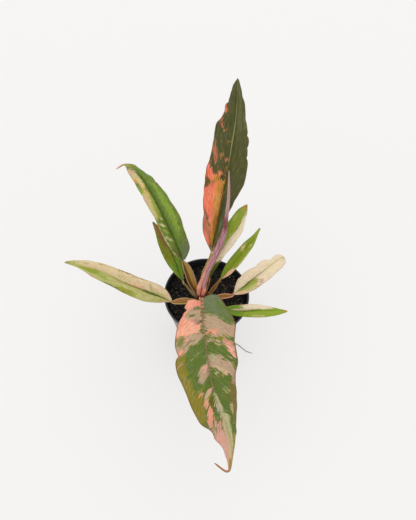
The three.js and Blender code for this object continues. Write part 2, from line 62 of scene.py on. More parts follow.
# A blade's midrib runs from its stalk to its drip tip. Half widths are evenly spaced along it,
# left and right as seen from the stalk. roll, fold and cup turn, crease and bulge it, lobes reach
# back beside the stalk, and a nick (side, share of the length, depth) cuts into the margin.
# A patch of colour lies between two shares of the length at the midrib, which lead to two others
# at the margin, and between two shares of the half width, left below 0. Then come its tone and
# how much of it the streaks of that tone cover.
BLADES = {
    "front": {
        "midrib": [(-5.6, -44, 150), (-0.4, -82, 159), (7, -121, 157), (16, -149, 145), (28, -167, 122),
                   (36, -182, 98), (37, -197, 80), (33, -202, 76), (20, -195, 79)],
        "left": [19.2, 22.6, 26, 30.4, 32.9, 34.5, 32, 31, 31, 30.5, 26, 23.5, 22, 19, 17.5, 13.5, 9.5, 8,
                 5.5, 3, 1.5, 1, 1, 0.9, 0.8],
        "right": [13.8, 18, 21, 24.8, 27.2, 30, 31.5, 30, 32.5, 32.5, 30, 27.5, 26.5, 25.5, 24, 18.5, 16,
                  15.5, 11.5, 8.5, 7, 4, 1.5, 0.9, 0.8],
        "roll": [-12, -12, -10, 0], "fold": [12, 12, 12, 6], "lobes": [2.4, 0],
        "nicks": [(1, 0.057, 3), (1, 0.301, 1.2), (-1, 0.273, 0.8)], "wave": 1.7, "waves": 6.5, "cup": 2.6,
        "rows": 330, "columns": 24, "side_veins": 15, "sweep": 0.12, "ground": ("grass", "moss"),
        "rib": "dusty_rose", "rib_end": "pale_grey", "slot": "blade_front", "streaked": 0.22,
        "edge": "margin_red",
        "patches": [
            # Painted sheen: the grey patch on the blade's base stands for the reflection where the base
            # tilts back towards the light.
            (-0.2, 0.085, -0.2, 0.17, -1.2, 0.03, "sheen_grey_sage", 1),
            (0, 0.04, 0.03, 0.19, -1.2, -0.62, "grass", 0.7),
            (0.05, 0.085, 0.1, 0.15, -0.6, 0, "moss", 0.4),
            (0.1, 0.16, 0.17, 0.22, -1.2, -0.75, "dark_moss", 0.4),
            (0.2, 0.5, 0.28, 0.6, -1.2, 0.03, "moss", 0.5),
            (0.066, 0.222, 0.215, 0.262, -1.2, 0, "beige", 1),
            (0.08, 0.17, 0.225, 0.25, -1.2, -0.45, "mauve_tan", 0.6),
            (0.11, 0.15, 0.205, 0.23, -0.7, -0.05, "sage_mist", 0.3),
            (0.188, 0.212, 0.225, 0.262, -0.44, -0.02, "salmon", 0.9),
            (0.14, 0.17, 0.2, 0.23, -0.6, -0.08, "peach_tan", 0.4),
            (0.22, 0.25, 0.245, 0.28, -0.7, -0.35, "gold_olive", 0.7),
            (0.215, 0.228, 0.33, 0.345, -0.62, -0.05, "peach_tan", 0.75),
            (0.225, 0.265, 0.23, 0.27, -0.1, -0.02, "beige", 0.8),
            (0.17, 0.065, 0.3, 0.395, -0.96, -0.6, "pink_salmon", 1),
            (0.25, 0.31, 0.35, 0.395, -1.2, -0.05, "forest", 0.5),
            (0.285, 0.362, 0.395, 0.445, -1.2, 0, "beige", 1),
            (0.31, 0.345, 0.4, 0.43, -1.2, -0.3, "mauve_tan", 0.5),
            (0.3, 0.335, 0.345, 0.4, -0.95, -0.45, "moss", 0.5),
            (0.3, 0.33, 0.36, 0.39, -0.35, -0.08, "sage_mist", 0.6),
            (0.345, 0.362, 0.43, 0.452, -0.76, -0.05, "peach_tan", 0.9),
            (0.355, 0.362, 0.44, 0.455, -0.74, -0.4, "salmon", 0.55),
            (0.375, 0.39, 0.42, 0.46, -0.42, -0.12, "sage_cream", 0.5),
            (0.39, 0.41, 0.435, 0.48, -0.45, -0.15, "old_olive", 0.5),
            (0.375, 0.55, 0.455, 0.67, -1.2, -0.62, "olive", 0.9),
            (0.385, 0.425, 0.405, 0.465, -1.2, -0.86, "mauve_tan", 0.9),
            (0.41, 0.42, 0.515, 0.53, -0.72, -0.44, "pale_sage", 0.8),
            (0.44, 0.45, 0.5, 0.515, -0.72, -0.6, "peach_tan", 0.8),
            (0.45, 0.5, 0.6, 0.66, -0.72, -0.57, "peach_tan", 0.85),
            (0.5, 0.53, 0.6, 0.64, -0.7, -0.6, "salmon", 0.5),
            (0.55, 0.57, 0.655, 0.685, -1.2, -0.55, "salmon", 0.55),
            (0.6, 0.67, 0.66, 0.74, -0.95, -0.3, "grass", 0.9),
            (0.68, 0.8, 0.7, 0.84, -1.2, -0.3, "old_gold", 0.8),
            (-0.2, 0.215, -0.2, 0.225, 0, 1.2, "salmon", 1),
            (0.14, 0.205, 0.16, 0.225, 0, 1.2, "light_peach", 0.7),
            (0.015, 0.042, 0.015, 0.04, 0.08, 0.66, "hot_salmon", 0.9),
            (0.045, 0.155, 0.055, 0.115, 0, 0.8, "beige", 0.95),
            (0.115, 0.155, 0.115, 0.15, 0.08, 0.45, "mauve_tan", 0.7),
            (0.1, 0.19, 0.12, 0.2, 0.2, 0.8, "pale_peach", 0.35),
            (-0.03, 0.014, -0.03, 0.012, 0.12, 0.42, "old_olive", 0.9),
            (0.044, 0.068, 0.048, 0.068, 0.08, 0.56, "olive_grey", 0.9),
            (0.07, 0.085, 0.068, 0.085, 0.35, 0.85, "tan", 0.6),
            (0.093, 0.114, 0.088, 0.112, 0.28, 0.62, "dark_moss", 0.75),
            (0.085, 0.1, 0.082, 0.098, 0.6, 0.85, "old_olive", 0.6),
            (0.128, 0.146, 0.128, 0.148, 0.05, 0.16, "deep_olive", 0.8),
            (0.153, 0.17, 0.155, 0.172, 0.05, 0.16, "deep_olive", 0.8),
            (0.19, 0.222, 0.235, 0.318, 0, 1.2, "beige", 1),
            (0.205, 0.215, 0.265, 0.285, 0.25, 0.9, "mauve_tan", 0.6),
            (0.205, 0.213, 0.285, 0.295, 0.22, 0.85, "old_olive", 0.7),
            (0.215, 0.222, 0.3, 0.308, 0.3, 0.85, "moss", 0.6),
            (0.19, 0.22, 0.24, 0.26, 0.5, 0.75, "pink_salmon", 0.7),
            (0.2, 0.22, 0.285, 0.318, 0.74, 1.2, "salmon", 0.9),
            (0.16, 0.19, 0.225, 0.28, 0.66, 0.92, "old_olive", 0.9),
            (0.26, 0.42, 0.3, 0.54, 0.66, 1.2, "gold_olive", 0.9),
            (0.3, 0.33, 0.335, 0.365, 0.78, 0.95, "tan", 0.6),
            (0.338, 0.395, 0.46, 0.54, 0, 0.4, "beige", 1),
            (0.342, 0.372, 0.46, 0.48, 0, 0.24, "dusty_pink", 0.8),
            (0.27, 0.29, 0.33, 0.35, 0.2, 0.4, "pale_sage", 0.5),
            (0.28, 0.3, 0.345, 0.36, 0.45, 0.62, "pale_sage", 0.4),
            (0.425, 0.455, 0.47, 0.5, 0.1, 0.65, "lime_olive", 0.5),
            (0.42, 0.52, 0.5, 0.6, -0.6, -0.12, "old_olive", 0.45),
            (0.445, 0.47, 0.53, 0.57, 0.02, 0.46, "peach_tan", 0.9),
            (0.45, 0.465, 0.5, 0.52, 0.02, 0.22, "dusty_pink", 0.8),
            (0.455, 0.485, 0.555, 0.59, 0.24, 0.52, "salmon", 0.8),
            (0.43, 0.45, 0.5, 0.53, 0.44, 0.66, "salmon", 0.8),
            (0.465, 0.49, 0.52, 0.56, 0.1, 0.38, "old_gold", 0.6),
            (0.49, 0.565, 0.49, 0.57, 0.04, 0.32, "dark_moss", 0.85),
            (0.42, 0.53, 0.46, 0.6, 0.5, 1.2, "gold_olive", 0.9),
            (0.48, 0.53, 0.53, 0.6, 0.45, 1.1, "old_olive", 0.5),
            (0.5, 0.55, 0.57, 0.61, 0.26, 0.54, "salmon", 0.9),
            (0.51, 0.555, 0.595, 0.645, 0.42, 0.82, "salmon", 0.8),
            (0.5, 0.53, 0.59, 0.62, 0.55, 0.95, "rust", 0.45),
            (0.55, 0.6, 0.57, 0.65, 0.18, 0.7, "old_gold", 0.45),
            (0.575, 1.3, 0.645, 1.3, 0.03, 1.2, "dusty_pink", 1),
            (0.62, 0.8, 0.72, 0.9, 0.4, 1.2, "pale_rose_tan", 0.5),
            (0.47, 0.62, 0.47, 0.62, -0.14, 0.06, "sage_cream", 0.9),
            (0.57, 0.8, 0.63, 0.82, -0.38, 0.16, "sage_cream", 1),
            (0.6, 0.72, 0.64, 0.78, -0.36, -0.1, "sage_mist", 0.6),
            (0.74, 0.9, 0.72, 0.86, -0.6, 0.4, "sage_cream", 0.8),
            (0.53, 0.59, 0.53, 0.59, -0.06, 0.1, "pale_lilac", 0.7),
            (0.8, 0.91, 0.8, 0.91, -1.2, -0.1, "gold_tan", 0.9),
            (0.84, 0.91, 0.84, 0.91, -0.1, 0.6, "old_gold", 0.8),
            (0.895, 1.3, 0.895, 1.3, -1.2, 1.2, "rust", 0.9),
        ],
    },
    "back": {
        "midrib": [(2, 24, 142), (4, 37, 152), (8, 63, 170), (13, 93, 192), (16, 118, 210), (19, 151, 228),
                   (18, 196, 241)],
        "left": [1, 6.5, 11.5, 16, 17.5, 17, 19.5, 22, 23.5, 23, 23.5, 25, 23.5, 21.5, 21, 22, 22.5, 21, 16,
                 14, 13.5, 8.5, 6.5, 5, 0.8],
        "right": [3.5, 7.5, 9, 10, 11, 12.5, 14.5, 17.5, 22.5, 26, 26.5, 26.5, 27.5, 24.5, 21.5, 21.5, 19,
                  15.5, 11.5, 10.5, 9.5, 6.5, 5, 3, 0.8],
        "roll": [22, 22, 12], "fold": [15, 15, 10], "lobes": [0, 0],
        "nicks": [(1, 0.535, 1.2), (1, 0.655, 1.4), (1, 0.59, 0.8), (-1, 0.852, 1.6)], "wave": 1.8,
        "waves": 6, "cup": 2.2, "rows": 300, "columns": 22, "side_veins": 13, "sweep": 0.27,
        "ground": ("brown_olive", "night_green"), "rib": "deep_olive", "rib_end": "sage_mist",
        "slot": "blade_back", "streaked": 0.14, "edge": "margin_red",
        "patches": [
            (0.6, 0.82, 0.62, 0.84, 0.72, 1.1, "olive", 0.5),
            (0.03, 0.1, 0.05, 0.12, 0.68, 0.9, "pale_sage", 0.5),
            (0.05, 0.38, 0.05, 0.38, 0.02, 0.55, "night_green", 0.7),
            # Painted sheen: this grey-green patch near the base of the right half stands for a reflection.
            (0.09, 0.19, 0.1, 0.2, 0.48, 0.8, "slate_green", 0.7),
            (0.6, 1.1, 0.6, 1.1, 0.02, 0.72, "grey_olive", 0.8),
            (0.44, 0.54, 0.5, 0.64, -1.2, -0.5, "umber", 0.55),
            (0.03, 0.2, 0.04, 0.26, -1.2, -0.32, "dull_coral", 1),
            (0.03, 0.1, 0.04, 0.1, -1.2, -0.5, "coral", 1),
            (0.055, 0.075, 0.13, 0.16, -1.1, -0.25, "grey_coral", 0.5),
            (0.06, 0.07, 0.19, 0.21, -1.1, -0.4, "slate_green", 0.35),
            (0.1, 0.46, 0.24, 0.345, -1.02, -0.12, "coral", 1.2),
            (0.18, 0.45, 0.34, 0.4, -0.5, -0.2, "orange_coral", 0.9),
            (0.085, 0.1, 0.215, 0.235, -0.96, -0.22, "dark_line", 1),
            (0.055, 0.42, 0.06, 0.36, -0.34, -0.01, "amber", 1.2),
            (0.2, 0.36, 0.24, 0.34, -0.38, -0.08, "light_amber", 0.7),
            (0.08, 0.23, 0.08, 0.23, -0.24, -0.03, "brown_amber", 0.9),
            (0.16, 0.33, 0.16, 0.33, -1.2, -0.9, "dull_coral", 0.7),
            (0.34, 0.42, 0.35, 0.42, -0.82, -0.42, "caramel", 0.7),
            (0.345, 0.43, 0.345, 0.43, -0.97, -0.72, "dark_umber", 0.9),
            (0.34, 0.4, 0.34, 0.4, -1.2, -0.95, "dull_coral", 0.8),
            (0.315, 0.35, 0.43, 0.5, -1.2, -0.52, "coral", 1),
            (0.36, 0.4, 0.42, 0.48, -0.56, -0.28, "amber", 0.8),
            (0.345, 0.38, 0.45, 0.5, -0.5, -0.1, "umber", 0.5),
            (0.42, 0.435, 0.5, 0.52, -0.6, -0.25, "caramel", 0.4),
            (0.37, 0.39, 0.56, 0.62, -1.2, -0.5, "dull_coral", 0.8),
            (0.4, 0.435, 0.41, 0.44, -0.27, -0.05, "night_green", 0.9),
            (0.5, 0.525, 0.56, 0.585, -0.56, -0.26, "caramel", 0.7),
            (0.505, 0.53, 0.51, 0.54, -0.19, -0.05, "dull_coral", 0.9),
            (0.6, 0.618, 0.62, 0.64, -0.25, -0.04, "caramel", 0.7),
            (0.58, 0.6, 0.62, 0.64, -0.6, -0.38, "caramel", 0.4),
            (0.62, 0.65, 0.735, 0.765, -1.2, -0.35, "dull_coral", 0.7),
            (0.64, 0.66, 0.7, 0.72, -0.6, -0.34, "amber", 0.6),
            (0.67, 0.7, 0.73, 0.765, -1.3, -0.8, "coral", 0.6),
            (0.7, 0.71, 0.795, 0.84, -1.4, -0.72, "coral", 1),
            (-0.2, 0.035, -0.2, 0.035, -1.2, 1.2, "tan", 0.9),
        ],
    },
    "upper_left": {
        "midrib": [(-30, 20, 126), (-43.5, 37, 150), (-63, 67, 166), (-82, 100, 165), (-99, 126, 156),
                   (-110, 134, 149), (-119, 131, 143)],
        "left": [1, 6.5, 11, 13, 14, 14, 14, 14, 15, 15, 15, 15.5, 15, 14, 13, 12, 10, 7, 4.5, 2.5, 0.8],
        "right": [3, 11.5, 14.2, 15, 15.3, 16.5, 17, 16.5, 15.5, 15, 13.5, 12, 11.5, 10.5, 7.5, 5.5, 4.5, 4,
                  1.5, 1, 0.8],
        "roll": [-8, -8, -4], "fold": [24, 24, 14], "lobes": [0, 0],
        "nicks": [(-1, 0.49, 1), (1, 0.59, 0.6)], "wave": 0.7, "waves": 4, "cup": 1.6, "rows": 260,
        "columns": 18, "side_veins": 14, "sweep": 0.1, "ground": ("leaf_green", "moss"), "rib": "forest",
        "rib_end": "moss", "slot": "blade_green", "streaked": 0.4, "edge": "tan",
        "patches": [
            # Painted sheen: the grey patch on the blade's base stands for the reflection where the base
            # tilts back towards the light.
            (-0.2, 0.14, -0.2, 0.18, 0, 1.2, "sheen_grey_sage", 0.8),
            (0.12, 0.6, 0.16, 0.66, 0.3, 0.75, "fresh_green", 0.8),
            (0.4, 0.8, 0.4, 0.85, 0.15, 0.8, "bright_green", 0.35),
            (0.58, 0.76, 0.58, 0.76, 0.03, 0.5, "sun_green", 0.4),
            (0.2, 0.85, 0.2, 0.85, 0.86, 1.3, "moss", 0.7), (0.1, 0.8, 0.1, 0.8, 0, 0.14, "moss", 0.8),
            (-0.1, 0.12, -0.1, 0.14, -1.2, 0, "dark_moss", 0.9),
            (0.1, 0.3, 0.12, 0.34, -0.45, 0, "moss", 0.4),
            (0.13, 0.15, 0.2, 0.22, -0.9, -0.1, "pale_sage", 0.9),
            (0.19, 0.21, 0.25, 0.27, -0.9, -0.15, "lime", 0.8),
            (0.24, 0.255, 0.29, 0.31, -0.9, -0.2, "pale_butter", 0.7),
            (-0.2, 0.3, -0.2, 0.3, -1.4, -0.94, "cream_peach", 1),
            (0.29, 0.31, 0.33, 0.35, -0.8, -0.15, "pale_butter", 0.6),
            (0.3, 0.56, 0.3, 0.58, -1.2, -0.06, "gold_green", 0.8),
            (0.3, 0.4, 0.32, 0.44, -1.2, -0.55, "butter_green", 0.8),
            (0.33, 0.36, 0.36, 0.39, -1, -0.45, "pale_rose_tan", 0.5),
            (0.36, 0.54, 0.38, 0.56, -1.2, -0.3, "butter", 0.6),
            (0.34, 0.5, 0.36, 0.52, -0.5, -0.08, "lime", 0.7),
            (0.38, 0.48, 0.41, 0.52, -1.1, -0.6, "peach_tan", 0.7),
            (0.44, 0.5, 0.47, 0.54, -0.95, -0.35, "pale_rose_tan", 0.4),
            (0.44, 0.56, 0.47, 0.6, -0.7, -0.2, "peach_gold", 0.6),
            (0.5, 0.57, 0.5, 0.58, -1.2, -0.72, "fresh_green", 0.8),
            (0.52, 0.64, 0.55, 0.66, -0.75, -0.16, "peach_gold", 0.7),
            (0.56, 0.76, 0.6, 0.76, -0.95, -0.22, "butter", 0.85),
            (0.57, 0.63, 0.59, 0.67, -1.2, -0.66, "amber", 0.7),
            (0.62, 0.74, 0.64, 0.74, -0.8, -0.3, "peach_tan", 0.6),
            (0.68, 0.8, 0.69, 0.8, -1.2, -0.5, "peach_tan", 0.8),
            (0.78, 0.82, 0.79, 0.84, -0.9, -0.42, "olive", 0.9),
            (0.745, 0.78, 0.74, 0.78, -0.45, 0.08, "beige", 0.7),
            (0.78, 1.3, 0.78, 1.3, -1.2, 1.2, "sun_green", 0.9),
            (0.87, 1.3, 0.87, 1.3, -1.2, 1.2, "olive", 0.8),
            (0.93, 1.3, 0.93, 1.3, -1.2, 1.2, "dusty_pink", 1),
        ],
    },
    "left": {
        "midrib": [(-40, -23, 106), (-65, -23, 124), (-90, -22, 138), (-114, -16, 148), (-135, -13, 152),
                   (-157, -9, 152)],
        "left": [1, 4.5, 8, 10.5, 12.5, 13, 12.5, 11.5, 10.5, 10.5, 11, 10.5, 9, 5.5, 3, 1.5, 0.8],
        "right": [2.5, 8.2, 11.2, 12, 11.5, 11.5, 11.5, 12, 11.5, 10.5, 9.5, 9, 8, 7.5, 6, 4, 0.8],
        "roll": [18, 18, 10], "fold": [15, 15, 12], "lobes": [0, 0], "nicks": [], "wave": 0.5, "waves": 4,
        "cup": 1.3, "rows": 220, "columns": 16, "side_veins": 12, "sweep": 0.3,
        "ground": ("butter_green", "lime"), "rib": "olive", "rib_end": "butter_green",
        "slot": "blade_cream", "streaked": 0.35, "edge": "tan",
        "patches": [
            (-0.2, 1, -0.2, 1, 0.02, 1.2, "cream_peach", 1),
            (0.02, 0.34, 0.1, 0.14, -0.2, 0.03, "moss", 0.9),
            (-0.2, 0.1, -0.2, 0.2, -1.2, -0.62, "peach_tan", 0.8),
            (0.1, 0.6, 0.16, 0.66, -0.95, -0.3, "lime", 0.4),
            (0.16, 0.19, 0.24, 0.27, -0.95, -0.2, "pale_peach", 0.5),
            (0.27, 0.3, 0.33, 0.36, -0.95, -0.3, "butter", 0.6),
            (0.42, 0.45, 0.47, 0.5, -0.8, -0.1, "butter", 0.6),
            (0.3, 0.5, 0.33, 0.56, -1.2, -0.4, "sun_green", 0.7),
            (0.37, 0.66, 0.37, 0.66, -1.2, -0.84, "moss", 0.8),
            (0.46, 0.56, 0.5, 0.6, -0.6, -0.06, "pale_rose_tan", 0.5),
            (0.58, 0.68, 0.62, 0.72, -0.7, -0.2, "lime", 0.7),
            (0.66, 0.88, 0.7, 0.9, -0.66, 0.02, "bright_green", 0.9),
            (0.7, 0.8, 0.7, 0.8, -1.2, -0.7, "peach_tan", 0.7),
            (0.05, 0.22, 0.07, 0.24, 0.02, 0.34, "butter_green", 0.8),
            (0.1, 0.3, 0.12, 0.34, 0.2, 0.7, "pale_rose_tan", 0.5),
            (0.26, 0.42, 0.3, 0.42, 0.04, 0.36, "peach", 0.8),
            (0.14, 0.2, 0.18, 0.25, 0.5, 0.95, "pale_peach", 0.8),
            (0.26, 0.32, 0.3, 0.38, 0.55, 0.95, "pale_peach", 0.6),
            (0.2, 0.23, 0.25, 0.28, 0.1, 0.9, "lime", 0.6), (0.33, 0.36, 0.37, 0.4, 0.2, 0.9, "lime", 0.5),
            (0.38, 0.6, 0.4, 0.62, 0.16, 0.6, "butter_green", 0.6),
            (0.44, 0.47, 0.49, 0.52, 0.1, 0.8, "peach", 0.6),
            (0.5, 0.56, 0.54, 0.6, 0.5, 0.95, "lime", 0.5),
            (0.6, 0.72, 0.62, 0.76, 0.58, 0.95, "gold_olive", 0.5),
            (0.22, 0.7, 0.22, 0.7, 0.88, 1.2, "gold_olive", 0.7),
            (0.72, 0.95, 0.74, 0.95, 0.3, 0.8, "lime", 0.5),
            (0.7, 0.86, 0.7, 0.86, 0.04, 0.28, "peach", 0.7), (0.84, 1.3, 0.8, 1.3, -1.2, 1.2, "lime", 0.7),
            (0.95, 1.3, 0.95, 1.3, -1.2, 1.2, "olive", 0.8),
        ],
    },
    "left_small": {
        "midrib": [(-29, 7, 103), (-37, 20, 115), (-47, 37, 124), (-58, 53, 128), (-69, 68, 129)],
        "left": [1, 7.7, 11.7, 12.8, 9.7, 5, 0.8],
        "right": [1, 6.2, 8.2, 8.3, 6.5, 3.6, 0.8],
        "roll": [-6, -6, 0], "fold": [16, 16, 12], "lobes": [0, 0], "nicks": [], "wave": 0.5, "waves": 3,
        "cup": 1.2, "rows": 150, "columns": 16, "side_veins": 9, "sweep": 0.25,
        "ground": ("spring_green", "bright_green"), "rib": "moss", "rib_end": "gold_olive",
        "slot": "blade_green", "streaked": 0.2, "edge": "olive",
        "patches": [
            # Painted sheen: the grey patch on the blade's base stands for the reflection where the base
            # tilts back towards the light.
            (-0.2, 0.14, -0.2, 0.18, -1.2, 1.2, "sheen_grey_sage", 0.6),
            (0.26, 0.64, 0.3, 0.66, -1.2, -0.1, "lime_olive", 0.8),
            (0.2, 0.6, 0.24, 0.62, -0.6, 0.3, "sun_green", 0.6),
            (0.1, 0.5, 0.14, 0.5, 0.35, 1.2, "spring_green", 0.9),
            (0.1, 0.16, 0.12, 0.18, -0.7, -0.2, "lime", 0.4), (0.5, 1.3, 0.5, 1.3, -0.9, 1.2, "umber", 0.9),
            (0.8, 1.3, 0.8, 1.3, -1.2, 0.8, "brown_amber", 0.6),
            (0.92, 1.3, 0.92, 1.3, -1.2, 1.2, "olive", 0.9),
        ],
    },
    "right": {
        "midrib": [(31, -8, 106), (43, -3, 118), (53, 4, 126), (63, 11, 131), (74, 23, 130), (85, 36, 124)],
        "left": [1, 6.5, 10.5, 11.5, 12, 11, 9.5, 10.5, 9.5, 5.5, 6, 5.8, 3.4],
        "right": [1, 5, 8, 10, 11.5, 12, 12, 11.5, 11, 11, 10, 8, 3.5],
        "roll": [-10, -10, -5], "fold": [12, 12, 8], "lobes": [0, 0], "nicks": [], "wave": 0.3, "waves": 3,
        "cup": 1.2, "rows": 150, "columns": 16, "side_veins": 9, "sweep": 0.25,
        "ground": ("leaf_cream", "pale_peach"), "rib": "moss", "rib_end": "pale_sage",
        "slot": "blade_cream", "streaked": 0, "edge": "dusty_rose",
        "patches": [
            (-0.2, 0.08, -0.2, 0.08, -1.2, 0, "peach", 0.8),
            (0.05, 0.46, 0.05, 0.46, -1.2, -0.08, "pale_peach", 0.4),
            (0.06, 0.38, 0.08, 0.38, -0.07, 0.05, "moss", 0.9),
            (0.06, 0.2, 0.08, 0.22, 0.02, 0.45, "butter_green", 0.8),
            (0.12, 0.42, 0.14, 0.44, 0.02, 0.55, "lime", 1),
            (0.16, 0.34, 0.18, 0.34, 0.03, 0.26, "fresh_green", 0.6),
            (0.3, 0.39, 0.34, 0.47, 0.02, 0.6, "gold_green", 0.6),
            (0.13, 0.36, 0.2, 0.42, 0.45, 0.9, "butter_green", 0.9),
            (0.38, 0.47, 0.42, 0.52, 0.35, 0.98, "lilac_tan", 0.7),
            (0.04, 0.17, 0.05, 0.21, 0.44, 1.2, "peach", 1),
            (0.3, 0.45, 0.3, 0.45, 0.85, 1.2, "dusty_pink", 0.8),
            (0.48, 0.84, 0.5, 0.86, 0.04, 0.95, "leaf_cream", 1),
            (0.4, 0.84, 0.4, 0.84, -0.04, 0.04, "olive_tan", 0.4),
            (0.85, 1.3, 0.9, 1.3, 0.1, 0.7, "sage_mist", 0.8),
        ],
    },
    "right_low": {
        "midrib": [(19, -24, 98), (39, -31, 109), (58, -32, 115), (76, -30, 114), (92, -27, 109)],
        "left": [1, 5.5, 7.5, 7.2, 5.3, 2.6, 0.8],
        "right": [1, 5.5, 7, 8.2, 8.2, 5.5, 0.8],
        "roll": [-15, -15, -8], "fold": [15, 15, 10], "lobes": [0, 0], "nicks": [], "wave": 0.4, "waves": 3,
        "cup": 0.9, "rows": 150, "columns": 14, "side_veins": 9, "sweep": 0.25,
        "ground": ("vivid_green", "bright_lime"), "rib": "moss", "rib_end": "bright_lime",
        "slot": "blade_green", "streaked": 0.1, "edge": "gold_olive",
        "patches": [
            (0.3, 1.3, 0.34, 1.3, 0, 1.2, "vivid_lime", 1),
            (0.1, 0.4, 0.12, 0.44, 0.05, 0.8, "vivid_green", 0.6),
            (0.16, 0.42, 0.22, 0.5, -1.2, -0.82, "beige", 0.8),
            (0.28, 0.78, 0.36, 0.78, -1.2, -0.16, "cream", 1),
            (0.15, 0.46, 0.15, 0.46, -0.3, 0.01, "cream_peach", 1),
            (0.6, 0.72, 0.62, 0.76, -0.9, -0.5, "pale_peach", 0.8),
            (0.7, 1.3, 0.76, 1.3, -1.2, 0.2, "vivid_lime", 0.9),
            (0.37, 0.395, 0.38, 0.42, 0.18, 0.55, "lime", 0.8),
            (0.47, 0.49, 0.48, 0.51, 0.28, 0.66, "lime", 0.7),
            (0.44, 0.62, 0.46, 0.68, 0.68, 0.95, "butter_green", 0.8),
            (0.93, 1.3, 0.93, 1.3, -1.2, 1.2, "amber", 0.9),
        ],
    },
    "upper_right": {
        "midrib": [(15, 11, 106), (22, 17, 118), (31, 25, 128), (40, 35, 137), (49, 46, 142), (56, 61, 142)],
        "left": [1, 4, 6.3, 6, 5.2, 3, 0.8],
        "right": [1, 6.5, 7.3, 7, 6, 2.3, 0.8],
        "roll": [-15, -15, -8], "fold": [15, 15, 12], "lobes": [0, 0], "nicks": [], "wave": 0.4, "waves": 3,
        "cup": 0.8, "rows": 150, "columns": 14, "side_veins": 9, "sweep": 0.3,
        "ground": ("bright_green", "spring_green"), "rib": "bright_green", "rib_end": "gold_olive",
        "slot": "blade_green", "streaked": 0.15, "edge": "gold_olive",
        "patches": [
            (0.1, 0.9, 0.15, 0.95, 0.1, 0.9, "bright_lime", 0.8),
            (0.3, 1.3, 0.34, 1.3, -1.2, 1.2, "bright_lime", 0.6), (0, 0.24, 0, 0.29, 0.36, 1.2, "peach", 1),
            (0.24, 0.6, 0.24, 0.66, 0.8, 1.2, "butter", 0.8),
            (0.5, 0.6, 0.56, 0.7, -0.95, 0.3, "butter", 0.7),
            (0.4, 0.46, 0.44, 0.5, -0.8, -0.1, "lime", 0.4),
            (0.3, 0.36, 0.32, 0.39, 0.3, 0.8, "old_gold", 0.7),
            (0.62, 0.7, 0.65, 0.76, 0.1, 0.8, "butter", 0.6),
            (0.68, 1.3, 0.72, 1.3, -1.2, 1.2, "gold_green", 0.6),
        ],
    },
    "back_right": {
        "midrib": [(2, 13, 104), (9, 25, 130), (19, 37, 147), (28, 46, 158), (34, 58, 165),
                   (38.3, 74.6, 167.5)],
        "left": [1, 2.5, 4, 5.5, 7.2, 9, 11.2, 12, 10.5, 7.8, 0.8],
        "right": [1, 2.8, 4.8, 7, 8.5, 9.8, 9.9, 8, 4.4, 3.1, 0.8],
        "roll": [0, 0, 0], "fold": [15, 15, 12], "lobes": [0, 0], "nicks": [], "wave": 0.5, "waves": 3,
        "cup": 1, "rows": 170, "columns": 14, "side_veins": 11, "sweep": 0.25,
        "ground": ("fresh_green", "bright_green"), "rib": "bright_green", "rib_end": "lime",
        "slot": "blade_cream", "streaked": 0.15, "edge": "gold_olive",
        "patches": [
            (-0.2, 0.3, -0.2, 0.36, -1.2, 0, "forest", 0.7),
            (0.4, 0.95, 0.44, 0.95, -1.2, 0, "bright_lime", 0.7),
            (0.18, 1.05, 0.3, 1.05, 0, 1.2, "cream", 1.2), (-0.3, 0.2, -0.3, 0.33, 0, 1.2, "forest", 1),
            (0.19, 0.26, 0.3, 0.36, 0, 1.2, "pale_peach", 0.7),
            (0.55, 1.05, 0.62, 1.05, -0.08, 0.18, "old_gold", 0.8),
            (0.5, 0.8, 0.6, 0.9, 0.3, 0.9, "pale_butter", 0.6),
            (0.62, 1.05, 0.84, 1.05, 0.1, 1.2, "gold_green", 0.6),
            (0.68, 0.74, 0.74, 0.8, 0.3, 0.7, "pale_peach", 0.6),
            (0.72, 0.84, 0.74, 0.88, -0.95, -0.5, "lime", 0.8),
            (0.8, 1.3, 0.82, 1.3, -1.2, 1.2, "gold_green", 0.7),
            (0.93, 1.3, 0.93, 1.3, -1.2, 1.2, "amber", 0.9),
        ],
    },
}

BLADE = {"middle": 0.3, "margin": 0.12, "keel": 1.1, "groove": 0.4, "rib_half": 1.1, "quilt": 0.16,
         "lobe_span": 0.14, "lobe_root": 0.1, "lobe_trim": 0.4, "crinkle": 0.25, "nick_width": 0.009}

